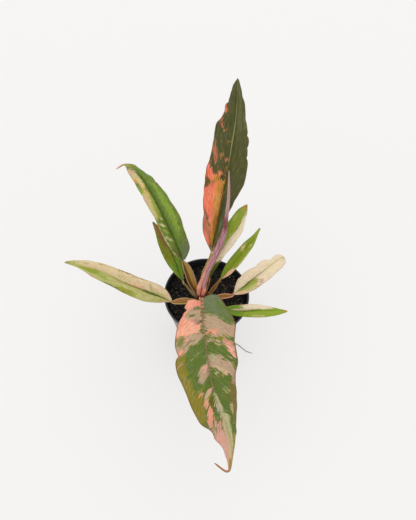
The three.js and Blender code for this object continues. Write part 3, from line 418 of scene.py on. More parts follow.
# A stalk leaves the stem at an azimuth and a height, and passes through its own points on the way.
STALKS = {
    "front": {"azimuth": -95, "height": 84, "via": [(-4, -20, 108), (-4.5, -32, 132)],
              "half": [2, 3.6, 4.2, 3.4, 1.4], "tones": ("caramel", "caramel", "rim_pink")},
    "back": {"azimuth": 101, "height": 84.5, "via": [(-5, 13, 104), (-1.7, 18, 122)],
             "half": [1.7, 2.6, 3, 2.4, 1.6, 1.4], "tones": ("lime", "gold_tan", "rim_gold")},
    "upper_left": {"azimuth": 139, "height": 83.5, "via": [(-17, 5.5, 98), (-23, 12.5, 112)],
                   "half": [1.7, 3.8, 5, 5.4, 5.2, 4.5, 1.4], "tones": ("olive_brown", "gold_tan", "beige")},
    "left": {"azimuth": 210, "height": 82, "via": [(-19, -13, 91), (-29, -19, 99)],
             "half": [1.7, 2.9, 4.3, 3.8, 1.3], "tones": ("yellow_olive", "coral_brown", "rim_gold")},
    "left_small": {"azimuth": 175, "height": 81, "via": [(-19.5, 2.8, 87), (-26, 6, 96)],
                   "half": [1.6, 2.1, 1.5, 1.2, 1.2], "tones": ("pea_green", "stone", "tan")},
    "right": {"azimuth": -12, "height": 81.5, "via": [(12, -5, 89), (22, -7.5, 98)],
              "half": [1.7, 2.7, 3.8, 3.2, 1.3], "tones": ("olive_tan", "coral_brown", "rim_pink")},
    "right_low": {"azimuth": -50, "height": 81, "via": [(7, -14, 87), (13, -20, 93)],
                  "half": [1.6, 2, 2.2, 1.8, 1.2], "tones": ("pea_green", "pea_green", "rim_pink")},
    "upper_right": {"azimuth": 28, "height": 81.5, "via": [(6, 4, 89), (11, 8, 98)],
                    "half": [1.6, 2.2, 2.5, 1.5, 1.2], "tones": ("umber", "umber", "tan")},
    "back_right": {"azimuth": 64, "height": 82, "via": [(-0.8, 8, 89), (0.8, 11, 97)],
                   "half": [1.6, 2, 2.1, 1.8, 1.2], "tones": ("olive_tan", "coral_brown", "rim_pink")},
}

STALK = {"rings": 70, "arc": 18, "edge": 0.8, "keel": 1.1, "keel_per_width": 0.22, "wing": 0.34,
         "floor": 1.5, "foot_gap": 0.95, "tip_gap": 0.5, "neck": 3.5}

STEM = {"x": -4.5, "y": -3.6, "foot": 58, "top": 87.5, "foot_radius": 6.6, "top_radius": 4.4}

ROOTS = {"count": 5, "reach": 25, "depth": 34, "radius": 1.7, "tip_radius": 0.7}

# The youngest leaf: a coral sheath on top of the stem, open along a dark groove at its foot, and
# above it the blade, still rolled. Their sections are drawn by turn, from their right side.
SHEATH = {
    "path": [(-6.8, -3.2, 89.7), (-6.8, -0.4, 93.6), (-5.4, 4, 104), (-2.9, 7, 116), (-1.2, 8, 126)],
    "half": [4, 5.5, 4.4, 4, 3.6],
    "flatness": 0.8,
    "groove": {"depth": 0.6, "breadth": 0.28, "shut": 0.42, "closing": 0.2},
    "right_lobe": {"turn": 0.8, "breadth": 0.5, "rise": 0.22, "end": 0.26},
    "left_lobe": {"turn": 2.4, "breadth": 0.6, "rise": 0.2, "end": 0.34},
    "rings": 110,
    "sides": 72,
}
ROLLED = {
    "path": [(-1.2, 8, 126.6), (3.3, 9, 146), (8.2, 11, 166), (11.4, 13, 183), (14, 16, 199),
             (14.4, 18, 214), (15, 24, 236), (14.6, 30, 250), (13.2, 40, 268)],
    "half": [3.6, 3.5, 3.4, 3.2, 2.7, 2, 1.6, 1.2, 0.5],
    "flatness": 0.85,
    "overlap": 0.16,
    "rings": 200,
    "sides": 48,
}
NEW_LEAF_FACE = (0, -1, 0.35)

LOOSE_ROOT = {
    "path": [(29.2, -14.9, 2.5), (35, -18, 1.2), (44, -22, 0.9), (49, -26, 0.9), (55, -30, 0.9),
             (62, -32, 0.8)],
    "radius": 0.7,
    "tip_radius": 0.45,
}

TONES = {
    # The first tone here is a painted sheen, the grey reflection on the bases of blades.
    "sheen_grey_sage": (110, 122, 86), "dark_moss": (100, 106, 44), "old_olive": (132, 130, 70),
    "mauve_tan": (178, 142, 120), "sage_cream": (206, 198, 150), "pale_lilac": (204, 196, 184),
    "night_green": (68, 72, 32), "slate_green": (96, 108, 80), "light_amber": (212, 150, 80),
    "dark_umber": (112, 84, 46), "lilac_tan": (206, 172, 146), "vivid_lime": (144, 166, 10),
    "grass": (98, 118, 52), "fresh_green": (132, 158, 56), "bright_green": (140, 160, 34),
    "moss": (96, 114, 50), "forest": (84, 106, 46), "spring_green": (112, 146, 44),
    "leaf_green": (110, 136, 54), "lime_olive": (136, 142, 40), "vivid_green": (104, 144, 24),
    "deep_olive": (74, 78, 42), "olive": (122, 112, 58), "lime": (158, 170, 82),
    "bright_lime": (140, 160, 14), "gold_green": (164, 164, 66), "butter_green": (196, 190, 124),
    "pale_sage": (192, 188, 136), "sage_mist": (176, 182, 138), "pale_grey": (188, 178, 158),
    "stone": (196, 180, 150), "beige": (186, 158, 128), "tan": (182, 142, 100),
    "peach_tan": (206, 174, 138), "salmon": (236, 160, 134), "hot_salmon": (244, 146, 120),
    "coral": (236, 124, 96), "orange_coral": (238, 136, 84), "dull_coral": (188, 112, 88),
    "amber": (200, 138, 66), "brown_amber": (172, 108, 42), "dusty_pink": (222, 166, 146),
    "pale_rose_tan": (216, 172, 150), "dusty_rose": (160, 128, 106), "old_gold": (160, 142, 56),
    "gold_olive": (142, 130, 52), "rust": (184, 120, 80), "umber": (140, 108, 52),
    "butter": (212, 196, 128), "pale_butter": (232, 220, 174), "cream": (240, 224, 192),
    "cream_peach": (226, 202, 160), "peach": (236, 192, 158), "peach_gold": (226, 188, 122),
    "pale_peach": (240, 214, 186), "caramel": (166, 122, 72), "olive_brown": (116, 90, 38),
    "olive_tan": (150, 122, 66), "gold_tan": (184, 150, 84), "coral_brown": (176, 120, 88),
    "yellow_olive": (144, 128, 48), "pea_green": (146, 142, 92), "rim_gold": (200, 172, 114),
    "rim_pink": (228, 162, 134), "maroon": (112, 50, 48), "margin_red": (124, 82, 58),
    "coral_sheath": (224, 144, 122), "pale_coral": (242, 168, 142), "dark_plum": (104, 56, 72),
    "rose_mauve": (186, 124, 130), "plum": (142, 84, 102), "pale_rose": (232, 194, 198),
    "lilac_grey": (196, 158, 168), "pink_salmon": (236, 166, 148), "light_peach": (242, 174, 142),
    "olive_grey": (118, 118, 78), "brown_olive": (88, 88, 44), "grey_olive": (98, 98, 60),
    "leaf_cream": (234, 216, 182), "sun_green": (150, 152, 50), "dark_line": (92, 92, 58),
    "grey_coral": (150, 118, 92), "shell": (182, 150, 142), "under": (150, 140, 104),
}

# The studio's reflection on every surface, which its tone then leaves out.
SHEEN = 0.024
DARKEST = 0.004


def linear_light(code):
    """A channel of a screen colour, from 0 to 255, as light."""
    share = code / 255
    return share / 12.92 if share <= 0.04045 else ((share + 0.055) / 1.055) ** 2.4


def tone(name):
    return (*(max(linear_light(code) - SHEEN, DARKEST) for code in TONES[name]), 1)


class Paint:
    """A socket of a node tree. Sums and products of sockets add their Math nodes."""

    def __init__(self, tree, socket=None):
        self.tree = tree
        self.socket = socket

    def node(self, kind, settings=None, sockets=None, out=0):
        """Any node, from its type, its settings, and its sockets' values or links."""
        made = self.tree.nodes.new(kind)
        for key, value in (settings or {}).items():
            setattr(made, key, value)
        for key, value in (sockets or {}).items():
            if isinstance(value, Paint):
                self.tree.links.new(value.socket, made.inputs[key])
            else:
                made.inputs[key].default_value = value
        return Paint(self.tree, made.outputs[out] if made.outputs else None)

    def maths(self, operation, *values):
        return self.node("ShaderNodeMath", {"operation": operation}, dict(enumerate(values)))

    def __add__(self, other):
        return self.maths("ADD", self, other)

    __radd__ = __add__

    def __sub__(self, other):
        return self.maths("SUBTRACT", self, other)

    def __rsub__(self, other):
        return self.maths("SUBTRACT", other, self)

    def __mul__(self, other):
        return self.maths("MULTIPLY", self, other)

    __rmul__ = __mul__

    def __truediv__(self, other):
        return self.maths("DIVIDE", self, other)

    def __pow__(self, other):
        return self.maths("POWER", self, other)

    def __abs__(self):
        return self.maths("ABSOLUTE", self)

    def between(self, low, high):
        """0 up to low and 1 from high on, smoothly, or the other way round if high is lower."""
        flip = low > high
        sockets = {"Value": self, "From Min": min(low, high), "From Max": max(low, high),
                   "To Min": float(flip), "To Max": float(not flip)}
        return self.node("ShaderNodeMapRange", {"interpolation_type": "SMOOTHSTEP"}, sockets)

    def mix(self, share, first, second):
        return self.node("ShaderNodeMix", {"data_type": "RGBA"}, {0: share, 6: first, 7: second}, 2)

    def layered(self, *layers):
        """This colour with layers over it, each a tone and the share that it covers."""
        colour = self
        for name, share in layers:
            colour = self.mix(share, colour, tone(name))
        return colour

    def vector(self, x, y, z=0.0):
        return self.node("ShaderNodeCombineXYZ", sockets={0: x, 1: y, 2: z})

    def noise(self, place, scale, detail=2.0, roughness=0.5, layer=0.0):
        """Cloudy noise near 0.5; each layer of it has its own clouds."""
        sockets = {"Vector": place, "W": layer, "Scale": scale, "Detail": detail,
                   "Roughness": roughness}
        return self.node("ShaderNodeTexNoise", {"noise_dimensions": "4D"}, sockets)

    def bump(self, strength, distance):
        sockets = {"Height": self, "Strength": strength, "Distance": distance}
        return self.node("ShaderNodeBump", sockets=sockets)


def new_finish(name):
    """A bare material, and its Paint to start from."""
    material = bpy.data.materials.new(name)
    material.use_nodes = True
    material.node_tree.nodes.clear()
    return material, Paint(material.node_tree)


def shade(start, colour, roughness, normal=None, **constants):
    """Ends a material in one shader; constants are named for the shader's sockets."""
    sockets = {"Base Color": colour, "Roughness": roughness}
    if normal is not None:
        sockets["Normal"] = normal
    sockets.update({key.replace("_", " "): value for key, value in constants.items()})
    surface = start.node("ShaderNodeBsdfPrincipled", sockets=sockets)
    start.node("ShaderNodeOutputMaterial", sockets={"Surface": surface})


def place_on(start):
    """The three numbers of a piece's own place attribute."""
    place = start.node("ShaderNodeAttribute", {"attribute_name": "place"}, out=1)
    split = {axis: start.node("ShaderNodeSeparateXYZ", sockets={0: place}, out=axis)
             for axis in range(3)}
    return split[0], split[1], split[2]


def patch_share(along, across, away, patch, streaks):
    """How far a patch of colour covers a spot, 0 to 1. Its edges break up into streaks."""
    inner_start, inner_end, outer_start, outer_end, left, right, _, cover = patch
    middle = (inner_start + inner_end) / 2
    lean = (outer_start + outer_end) / 2 - middle
    half = (inner_end - inner_start) / 2
    widening = (outer_end - outer_start) / 2 - half
    x = (along - middle - away * lean) / (away * widening + half)
    y = (across - (left + right) / 2) / ((right - left) / 2)
    depth = 0.5 * (x ** 2 + y ** 4) - cover
    return ((streaks - 0.5) * 1.8 - depth).between(0.43, 0.57)


def blade_finish(name, leaf, length):
    """Leaf skin: marbled patches that feather along the side veins, a midrib and a thin margin."""
    material, start = new_finish(f"blade_{name}")
    along, across, under = place_on(start)
    away = abs(across)
    breadth = (max(leaf["left"]) + max(leaf["right"])) / 2
    reach = math.hypot(breadth, leaf["sweep"] * length)
    size = math.sqrt(breadth / 30)
    order = along - leaf["sweep"] * away
    vein = order * (length * breadth / reach / size)
    out = across * (reach / size)
    step = size * reach / breadth / length
    broad = start.noise(start.vector(vein / 8, out / 12), 1.0)
    finger = start.noise(start.vector(vein / 1.1, out / 13), 1.0, 4.0, 0.6, 1.0)
    ragged_along = along + ((broad - 0.5) * 7 + (finger - 0.5) * 7) * step
    ragged_across = across + (finger - 0.5) * (30 * size / reach) + (broad - 0.5) * 0.2
    ragged_away = abs(ragged_across)
    flow = start.vector(vein / 1.2, out / 8)
    streaks = [start.noise(flow, 1.0, 4.0, 0.6, 2.0 * layer) for layer in range(1, 5)]
    colour = start.mix(broad.between(0.35, 0.65) * 0.6, tone(leaf["ground"][0]), tone(leaf["ground"][1]))
    for i, patch in enumerate(leaf["patches"]):
        share = patch_share(ragged_along, ragged_across, ragged_away, patch, streaks[i % 4])
        colour = colour.layered((patch[6], share))
    pale = start.noise(start.vector(vein / 1.5, out / 8), 1.0, 5.0, 0.7, -2.0)
    dark = start.noise(start.vector(vein / 1.5, out / 7), 1.0, 5.0, 0.7, -4.0)
    colour = colour.layered(("pale_grey", pale.between(0.52, 0.66) * leaf["streaked"]),
                            ("moss", dark.between(0.55, 0.70) * leaf["streaked"] * 0.5))
    hue = start.noise(start.vector(vein / 4, out / 8), 1.0, 4.0, 0.6, -12.0)
    strength = start.noise(start.vector(vein / 3, out / 6), 1.0, 4.0, 0.6, -14.0)
    mottle = start.noise(start.vector(vein / 2.2, out / 4), 1.0, 5.0, 0.7, -8.0)
    fine_vein = abs(start.maths("FRACT", order * (3 * leaf["side_veins"])) - 0.5).between(0.36, 0.5)
    colour = colour.node("ShaderNodeHueSaturation", sockets={
        "Color": colour, "Hue": 0.46 + 0.08 * hue, "Saturation": 0.6 + 0.8 * strength,
        "Value": 0.52 + mottle - dark.between(0.46, 0.62) * 0.14 - 0.06 * fine_vein})
    line = abs(start.maths("FRACT", order * leaf["side_veins"]) - 0.5).between(0.45, 0.5)
    line = line * away.between(1.0, 0.4)
    rib_width = 1.0 / max(leaf["left"] + leaf["right"])
    rib = away.between(rib_width * 1.4, rib_width * 0.5)
    rib_tone = start.mix(along.between(0.4, 0.62), tone(leaf["rib"]), tone(leaf["rib_end"]))
    colour = start.mix(rib * 0.6, colour.layered(("pale_sage", line * 0.15)), rib_tone)
    colour = colour.layered((leaf["edge"], away.between(0.94, 0.99) * 0.6), ("under", under * 0.55))
    veinlets = start.noise(start.vector(vein / 0.7, out / 1.5), 1.0, 4.0, 0.65, -10.0)
    normal = (veinlets * 0.6 + line * 0.4 + fine_vein * 0.2).bump(0.4, 0.0003)
    shade(start, colour, 0.40 + 0.16 * mottle, normal, Specular_IOR_Level=0.3, Coat_Weight=0.05)
    return material


def stalk_finish(name, spec):
    """A winged stalk: a fleshy channel of two tones, pale rims and a maroon foot."""
    material, start = new_finish(f"stalk_{name}")
    along, across, inner = place_on(start)
    away = abs(across)
    streak = start.noise(start.vector(along * 3, across * 5, inner * 7), 1.0, 4.0, 0.6)
    fine = start.noise(start.vector(along * 9, across * 30, inner * 3), 1.0, 3.0)
    left, right, rim = spec["tones"]
    colour = start.mix((across + streak * 0.6 - 0.3).between(-0.15, 0.15), tone(left), tone(right))
    colour = colour.layered(("olive_tan", streak.between(0.52, 0.72) * 0.5),
                            ("olive_brown", away.between(0.16, 0.02) * inner * 0.55),
                            (rim, away.between(0.80, 0.97) * 0.85),
                            ("maroon", along.between(0.22, 0.02) * 0.75))
    colour = colour.node("ShaderNodeHueSaturation", sockets={
        "Color": colour, "Value": 0.84 + 0.32 * fine})
    shade(start, colour, 0.42 + 0.12 * streak, fine.bump(0.3, 0.0003), Specular_IOR_Level=0.3)
    return material


def sheath_finish():
    """The sheath: coral lobes round a maroon groove, then the inner leaf's lilac and rose stripes."""
    material, start = new_finish("sheath_flesh")
    along, turn, _ = place_on(start)
    streak = start.noise(start.vector(along * 3, turn * 26), 1.0, 4.0, 0.6)
    fine = start.noise(start.vector(along * 12, turn * 70), 1.0, 4.0, 0.6, 3.0)
    wander = turn + (streak - 0.5) * 0.08
    colour = start.mix(streak.between(0.35, 0.65), tone("pale_coral"), tone("coral_sheath"))
    upper = along.between(0.26, 0.42)
    colour = colour.layered(
        ("pale_coral", wander.between(0.36, 0.44) * wander.between(0.62, 0.5) * 0.8),
        ("lilac_grey", wander.between(0.32, 0.28) * upper * 0.85),
        ("plum", abs(wander - 0.29).between(0.03, 0.01) * upper * 0.7),
        ("rose_mauve", wander.between(0.19, 0.16) * upper * 0.8),
        ("tan", wander.between(0.13, 0.09) * upper * 0.9),
        ("tan", wander.between(0.70, 0.80) * 0.8),
        ("maroon", abs(turn - 0.25).between(0.032, 0.010) * along.between(0.46, 0.30) * 0.9),
        ("maroon", along.between(0.10, 0.0) * 0.7),
        ("pale_rose", fine.between(0.54, 0.66) * upper * 0.7),
        ("plum", fine.between(0.46, 0.36) * upper * 0.5))
    shade(start, colour, 0.42 + 0.1 * streak, fine.bump(0.25, 0.0004), Specular_IOR_Level=0.3)
    return material


def rolled_finish():
    """The rolled blade: fine rose, plum and pale streaks along it, and a tan back and edge."""
    material, start = new_finish("rolled_blade")
    along, turn, _ = place_on(start)
    streak = start.noise(start.vector(along * 5, turn * 18), 1.0, 4.0, 0.6)
    thin = start.noise(start.vector(along * 8, turn * 36), 1.0, 5.0, 0.65, 3.0)
    wander = turn + (streak - 0.5) * 0.1
    colour = start.mix(streak.between(0.40, 0.56), tone("rose_mauve"), tone("plum"))
    lilac = wander.between(0.31, 0.27) * wander.between(0.17, 0.21)
    colour = colour.layered(
        ("lilac_grey", lilac * along.between(0.5, 0.1) * 0.8),
        ("coral_sheath", wander.between(0.30, 0.40) * along.between(0.3, 0.0)),
        ("tan", wander.between(0.12, 0.08) * along.between(0.15, 0.0) * 0.9),
        ("tan", wander.between(0.62, 0.75) * 0.7),
        ("plum", along.between(0.40, 0.46) * along.between(0.66, 0.58) * 0.5),
        ("shell", along.between(0.62, 0.74) * (0.5 + 0.5 * streak)),
        ("pale_rose", thin.between(0.51, 0.59) * 0.85),
        ("maroon", along.between(0.50, 0.55) * along.between(0.66, 0.60) * 0.7),
        ("dark_plum", thin.between(0.45, 0.37) * along.between(0.8, 0.6) * 0.8))
    shade(start, colour, 0.4 + 0.1 * streak, thin.bump(0.35, 0.0004), Specular_IOR_Level=0.3)
    return material


def stem_finish():
    """The stem's skin, red-brown and ringed with leaf scars."""
    material, start = new_finish("stem_skin")
    spot = start.node("ShaderNodeTexCoord", out=3)
    height = start.node("ShaderNodeSeparateXYZ", sockets={0: spot}, out=2)
    patchy = start.noise(spot, 300.0, 4.0)
    rings = (height * 2400).maths("SINE", height * 2400)
    colour = start.mix(patchy.between(0.4, 0.65), tone("maroon"), tone("caramel"))
    shade(start, colour, 0.5 + 0.2 * patchy, (rings * 0.2 + patchy).bump(0.4, 0.0005))
    return material


def root_finish():
    """Dry, patchy grey root bark."""
    material, start = new_finish("root_bark")
    spot = start.node("ShaderNodeTexCoord", out=3)
    patchy = start.noise(spot, 900.0, 5.0, 0.6)
    colour = start.mix(patchy.between(0.35, 0.7), (0.22, 0.2, 0.18, 1), (0.42, 0.40, 0.37, 1))
    shade(start, colour, 0.75 + 0.2 * patchy, patchy.bump(0.5, 0.0003))
    return material


def pot_finish():
    """Black moulded plastic with a fine mould grain and a soft sheen; its faint blue tint and lighter
    blue-grey patches are a painted reflection.
    """
    material, start = new_finish("pot_plastic")
    spot = start.node("ShaderNodeTexCoord", out=3)
    grain = start.noise(spot, 2600.0, 2.0)
    sheen_patches = start.noise(spot, 60.0, 3.0)
    # Painted reflection: the colour drifts in patches to a lighter blue-grey.
    colour = start.mix(sheen_patches.between(0.45, 0.75) * 0.5, (0.011, 0.013, 0.018, 1), (0.034, 0.036, 0.042, 1))
    shade(start, colour, 0.28 + 0.16 * sheen_patches, grain.bump(0.12, 0.0002), Coat_Weight=0.2)
    return material


def soil_finish():
    """Moist peat: near-black, with brown and grey crumbs."""
    material, start = new_finish("potting_mix")
    spot = start.node("ShaderNodeTexCoord", out=3)
    crumb = start.noise(spot, 420.0, 6.0, 0.65)
    fibre = start.noise(spot, 1400.0, 3.0)
    colour = start.mix(crumb.between(0.48, 0.75), (0.003, 0.003, 0.003, 1), (0.016, 0.012, 0.009, 1))
    colour = start.mix(fibre.between(0.62, 0.70) * 0.7, colour, (0.10, 0.075, 0.05, 1))
    shade(start, colour, 0.85 + 0.12 * fibre, (crumb + fibre * 0.4).bump(0.8, 0.0012),
          Specular_IOR_Level=0.15)
    return material


def crumb_finish(name, bits):
    """Loose bits on the soil, each of its own shade between two colours."""
    material, start = new_finish(name)
    own = start.node("ShaderNodeAttribute", {"attribute_name": "shade"}, out=2)
    spot = start.node("ShaderNodeTexCoord", out=3)
    patchy = start.noise(spot, 1100.0, 3.0)
    colour = start.mix(own * 0.8 + patchy * 0.3 - 0.05, bits["dark"], bits["light"])
    shade(start, colour, bits["roughness"] + 0.1 * patchy, patchy.bump(0.5, 0.0004))
    return material


def linear(values, shares):
    """Values on straight lines between evenly spaced ones."""
    return np.interp(shares, np.linspace(0, 1, len(values)), values)


def smooth(values, shares):
    """Values on a smooth curve through evenly spaced ones."""
    values = np.asarray(values, float)
    last = len(values) - 1
    place = np.clip(shares, 0, 1) * last
    i = np.minimum(place.astype(int), last - 1)
    t = place - i
    before = np.maximum(i - 1, 0)
    after = np.minimum(i + 2, last)
    slope = (values[i + 1] - values[before]) / (i + 1 - before)
    next_slope = (values[after] - values[i]) / (after - i)
    return ((2 * t ** 3 - 3 * t ** 2 + 1) * values[i] + (t ** 3 - 2 * t ** 2 + t) * slope
            + (3 * t ** 2 - 2 * t ** 3) * values[i + 1] + (t ** 3 - t ** 2) * next_slope)


def unit(vectors):
    return vectors / np.linalg.norm(vectors, axis=-1, keepdims=True)


def along_curve(points, shares, face=(0, 0, 1)):
    """The places, directions, right sides and upper sides of a smooth curve, and its length."""
    points = np.asarray(points, float)
    ends = np.vstack([2 * points[0] - points[1], points, 2 * points[-1] - points[-2]])
    place = np.linspace(0, len(points) - 1, 200 * len(points))
    i = np.minimum(place.astype(int), len(points) - 2)
    t = (place - i)[:, None]
    a, b, c, d = (ends[i + k] for k in range(4))
    line = 0.5 * (2 * b + (c - a) * t + (2 * a - 5 * b + 4 * c - d) * t ** 2
                  + (3 * b - a - 3 * c + d) * t ** 3)
    run = np.concatenate([[0], np.cumsum(np.linalg.norm(np.diff(line, axis=0), axis=1))])
    heading = np.gradient(line, axis=0)
    at = np.stack([np.interp(shares * run[-1], run, line[:, k]) for k in range(3)], 1)
    along = unit(np.stack([np.interp(shares * run[-1], run, heading[:, k]) for k in range(3)], 1))
    right = unit(np.cross(along, np.asarray(face, float)))
    return at, along, right, np.cross(right, along), run[-1]


def finished(name, mesh, material, slot, *replaced):
    """A mesh as a piece of the object, smooth, riding on its body and standing for CAD nodes."""
    mesh.shade_smooth()
    mesh.materials.clear()
    mesh.materials.append(material)
    piece = bpy.data.objects.new(name, mesh)
    bpy.context.scene.collection.objects.link(piece)
    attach(piece, BODY)
    if replaced:
        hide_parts(*replaced)
    return piece


def outward(mesh):
    """Turns every face of a closed mesh outwards."""
    made = bmesh.new()
    made.from_mesh(mesh)
    bmesh.ops.recalc_face_normals(made, faces=made.faces)
    made.to_mesh(mesh)
    made.free()


def body_of_rings(name, rings, place):
    """A closed mesh of rings that follow each other; the end rings fold shut on their first point."""
    count, size = rings.shape[:2]
    index = np.arange(count * size).reshape(count, size)
    turned = np.roll(index, -1, 1)
    faces = np.stack([index[:-1], turned[:-1], turned[1:], index[1:]], -1).reshape(-1, 4).tolist()
    for ring in (index[0], index[-1]):
        for j in range(size // 2):
            corners = (ring[j], ring[j + 1], ring[size - j - 1], ring[-j])
            faces.append(list(dict.fromkeys(int(corner) for corner in corners)))
    mesh = bpy.data.meshes.new(name)
    mesh.from_pydata((rings.reshape(-1, 3) * MM).tolist(), [], faces)
    values = mesh.attributes.new("place", "FLOAT_VECTOR", "POINT")
    values.data.foreach_set("vector", place.reshape(-1).astype(np.float32))
    outward(mesh)
    return mesh


def blade_mesh(name, leaf):
    """The blade as a thin closed skin, quilted between its side veins, with a groove and a keel."""
    s = np.linspace(0, 1, leaf["rows"] + 1)
    share = 0.5 - 0.5 * np.cos(np.pi * np.arange(leaf["columns"] + 1) / leaf["columns"])
    t = np.concatenate([-share[:0:-1], share])
    at, along, right, top, length = along_curve(leaf["midrib"], s)
    roll = np.radians(linear(leaf["roll"], s))[:, None]
    fold = np.radians(linear(leaf["fold"], s))[:, None]
    side = right * np.cos(roll) + top * np.sin(roll)
    lift = np.cross(side, along)
    away = np.abs(t)
    hand = np.sign(t)
    row = s[:, None]
    half = np.where(hand < 0, smooth(leaf["left"], s)[:, None], smooth(leaf["right"], s)[:, None])
    for side_hand, share, cut in leaf["nicks"]:
        half = half - (hand == side_hand) * cut * np.exp(-((row - share) / BLADE["nick_width"]) ** 2)
    half = half * np.minimum(1, np.sqrt(np.clip((1 - row) / 0.015, 0.02, 1)))
    reach = np.where(hand < 0, *leaf["lobes"]) * np.maximum(0, 1 - row / BLADE["lobe_span"])
    beyond = np.maximum(0, (away - BLADE["lobe_root"]) / (1 - BLADE["lobe_root"]))
    reach = reach * (1 - (1 - beyond) ** 4) * (1 - BLADE["lobe_trim"] * beyond ** 6)
    fade = np.minimum(1, half / 8)
    ripple = np.sin(2 * np.pi * leaf["waves"] * row + hand) * leaf["wave"] * away ** 2
    crinkle = np.sin(2 * np.pi * leaf["waves"] * 2.7 * row + 2 * hand) * BLADE["crinkle"] * away ** 3
    bulge = 4 * away * (1 - away) * leaf["cup"] * fade
    vein = (row - leaf["sweep"] * away) * leaf["side_veins"]
    quilt = (np.abs(np.sin(np.pi * vein)) ** 0.7 - 0.6) * BLADE["quilt"] * 4 * away * (1 - away)
    rise = half * away * np.sin(fold) + (ripple + crinkle + bulge + quilt) * fade
    middle = (at[:, None] + side[:, None] * (hand * half * away * np.cos(fold))[..., None]
              + lift[:, None] * rise[..., None] - along[:, None] * reach[..., None])
    from_rib = half * away / BLADE["rib_half"]
    ridge = np.exp(-from_rib ** 2)
    thick = BLADE["middle"] + (BLADE["margin"] - BLADE["middle"]) * away ** 2 + 0 * row
    taper = 1 - 0.8 * row
    over = thick - BLADE["groove"] * taper * ridge
    below = thick + BLADE["keel"] * taper * ridge
    upper = middle + lift[:, None] * over[..., None]
    lower = middle - lift[:, None] * below[..., None]
    edge = side[:, None] * (BLADE["margin"] * t[[0, -1]])[None, :, None]
    rim = middle[:, [0, -1]] + edge
    rings = np.concatenate([rim[:, :1], upper, rim[:, 1:], lower[:, ::-1]], 1)
    ring_t = np.concatenate([[-1], t, [1], t[::-1]])
    ring_side = np.concatenate([[0.5], 0 * t, [0.5], 1 + 0 * t])
    place = np.stack(np.broadcast_arrays(row, ring_t, ring_side), -1)
    return body_of_rings(name, rings, place), length


def make_blades():
    for name, leaf in BLADES.items():
        mesh, length = blade_mesh(f"blade_{name}", leaf)
        finished(f"blade_{name}", mesh, blade_finish(name, leaf, length), leaf["slot"], f"leaf_{name}")


def boat_rings(at, right, top, half, wing, depth, channel, steps):
    """Rings of a boat-shaped section: its left edge, round the keel, its right edge, its channel."""
    turn = np.pi * (np.arange(steps + 1) / steps - 0.5)
    half, wing, depth, channel = (np.asarray(v, float)[:, None] for v in (half, wing, depth, channel))
    outer_x = half * np.sin(turn)
    outer_z = wing - (wing + depth) * np.cos(turn)
    inner = half - STALK["edge"]
    inner_x = inner * np.sin(turn)
    inner_z = wing - (wing + depth) * channel * np.cos(turn)
    tip_x = half - STALK["edge"] / 2
    tip_z = wing + STALK["edge"] / 4
    x = np.concatenate([-tip_x, outer_x, tip_x, inner_x[:, ::-1]], 1)
    z = np.concatenate([tip_z, outer_z, tip_z, inner_z[:, ::-1]], 1)
    rings = at[:, None] + right[:, None] * x[..., None] + top[:, None] * z[..., None]
    across = np.concatenate([[-1], np.sin(turn), [1], np.sin(turn)[::-1]])
    inside = np.concatenate([[0.5], 0 * turn, [0.5], 1 + 0 * turn])
    return rings, across, inside


def stem_radius(z):
    share = (z - STEM["foot"]) / (STEM["top"] - STEM["foot"])
    return STEM["foot_radius"] + (STEM["top_radius"] - STEM["foot_radius"]) * share


def stalk_mesh(name, spec):
    leaf_at, leaf_along, *_ = along_curve(BLADES[name]["midrib"], np.array([0.0]))
    turn = math.radians(spec["azimuth"])
    out = stem_radius(spec["height"]) + STALK["foot_gap"]
    foot = (STEM["x"] + out * math.cos(turn), STEM["y"] + out * math.sin(turn), spec["height"])
    neck = [leaf_at[0] - leaf_along[0] * gap
            for gap in (STALK["tip_gap"] + STALK["neck"], STALK["tip_gap"])]
    s = np.linspace(0, 1, STALK["rings"])
    at, _, right, top, _ = along_curve([foot, *spec["via"], *neck], s)
    half = smooth(spec["half"], s)
    depth = STALK["keel"] + STALK["keel_per_width"] * half
    wing = STALK["wing"] * half
    channel = np.maximum(0.1, 1 - STALK["floor"] / (wing + depth))
    rings, across, inside = boat_rings(at, right, top, half, wing, depth, channel, STALK["arc"])
    place = np.stack(np.broadcast_arrays(s[:, None], across, inside), -1)
    return body_of_rings(f"stalk_{name}", rings, place)


def make_stalks():
    for name, spec in STALKS.items():
        mesh = stalk_mesh(name, spec)
        slot = "stalk_green" if spec["tones"][0] == "pea_green" else "stalk_caramel"
        node = f"stalk_{name}"
        finished(f"winged_{node}", mesh, stalk_finish(name, spec), slot, node)


def wrapped_piece(name, spec, shape, material, slot, node):
    """A closed body along a path, with a section drawn by turn: its right side, front, left and back."""
    s = np.linspace(0, 1, spec["rings"])
    turn = 2 * np.pi * np.arange(spec["sides"]) / (spec["sides"] - 1)
    at, _, right, top, _ = along_curve(spec["path"], s, NEW_LEAF_FACE)
    flat = spec["flatness"] + (1 - spec["flatness"]) * np.abs(np.cos(turn))
    radius = smooth(spec["half"], s)[:, None] * flat * shape(s[:, None], turn[None])
    rings = (at[:, None] + right[:, None] * (radius * np.cos(turn))[..., None]
             + top[:, None] * (radius * np.sin(turn))[..., None])
    place = np.stack(np.broadcast_arrays(s[:, None], turn / (2 * np.pi), 0.0), -1)
    finished(name, body_of_rings(name, rings, place), material, slot, node)


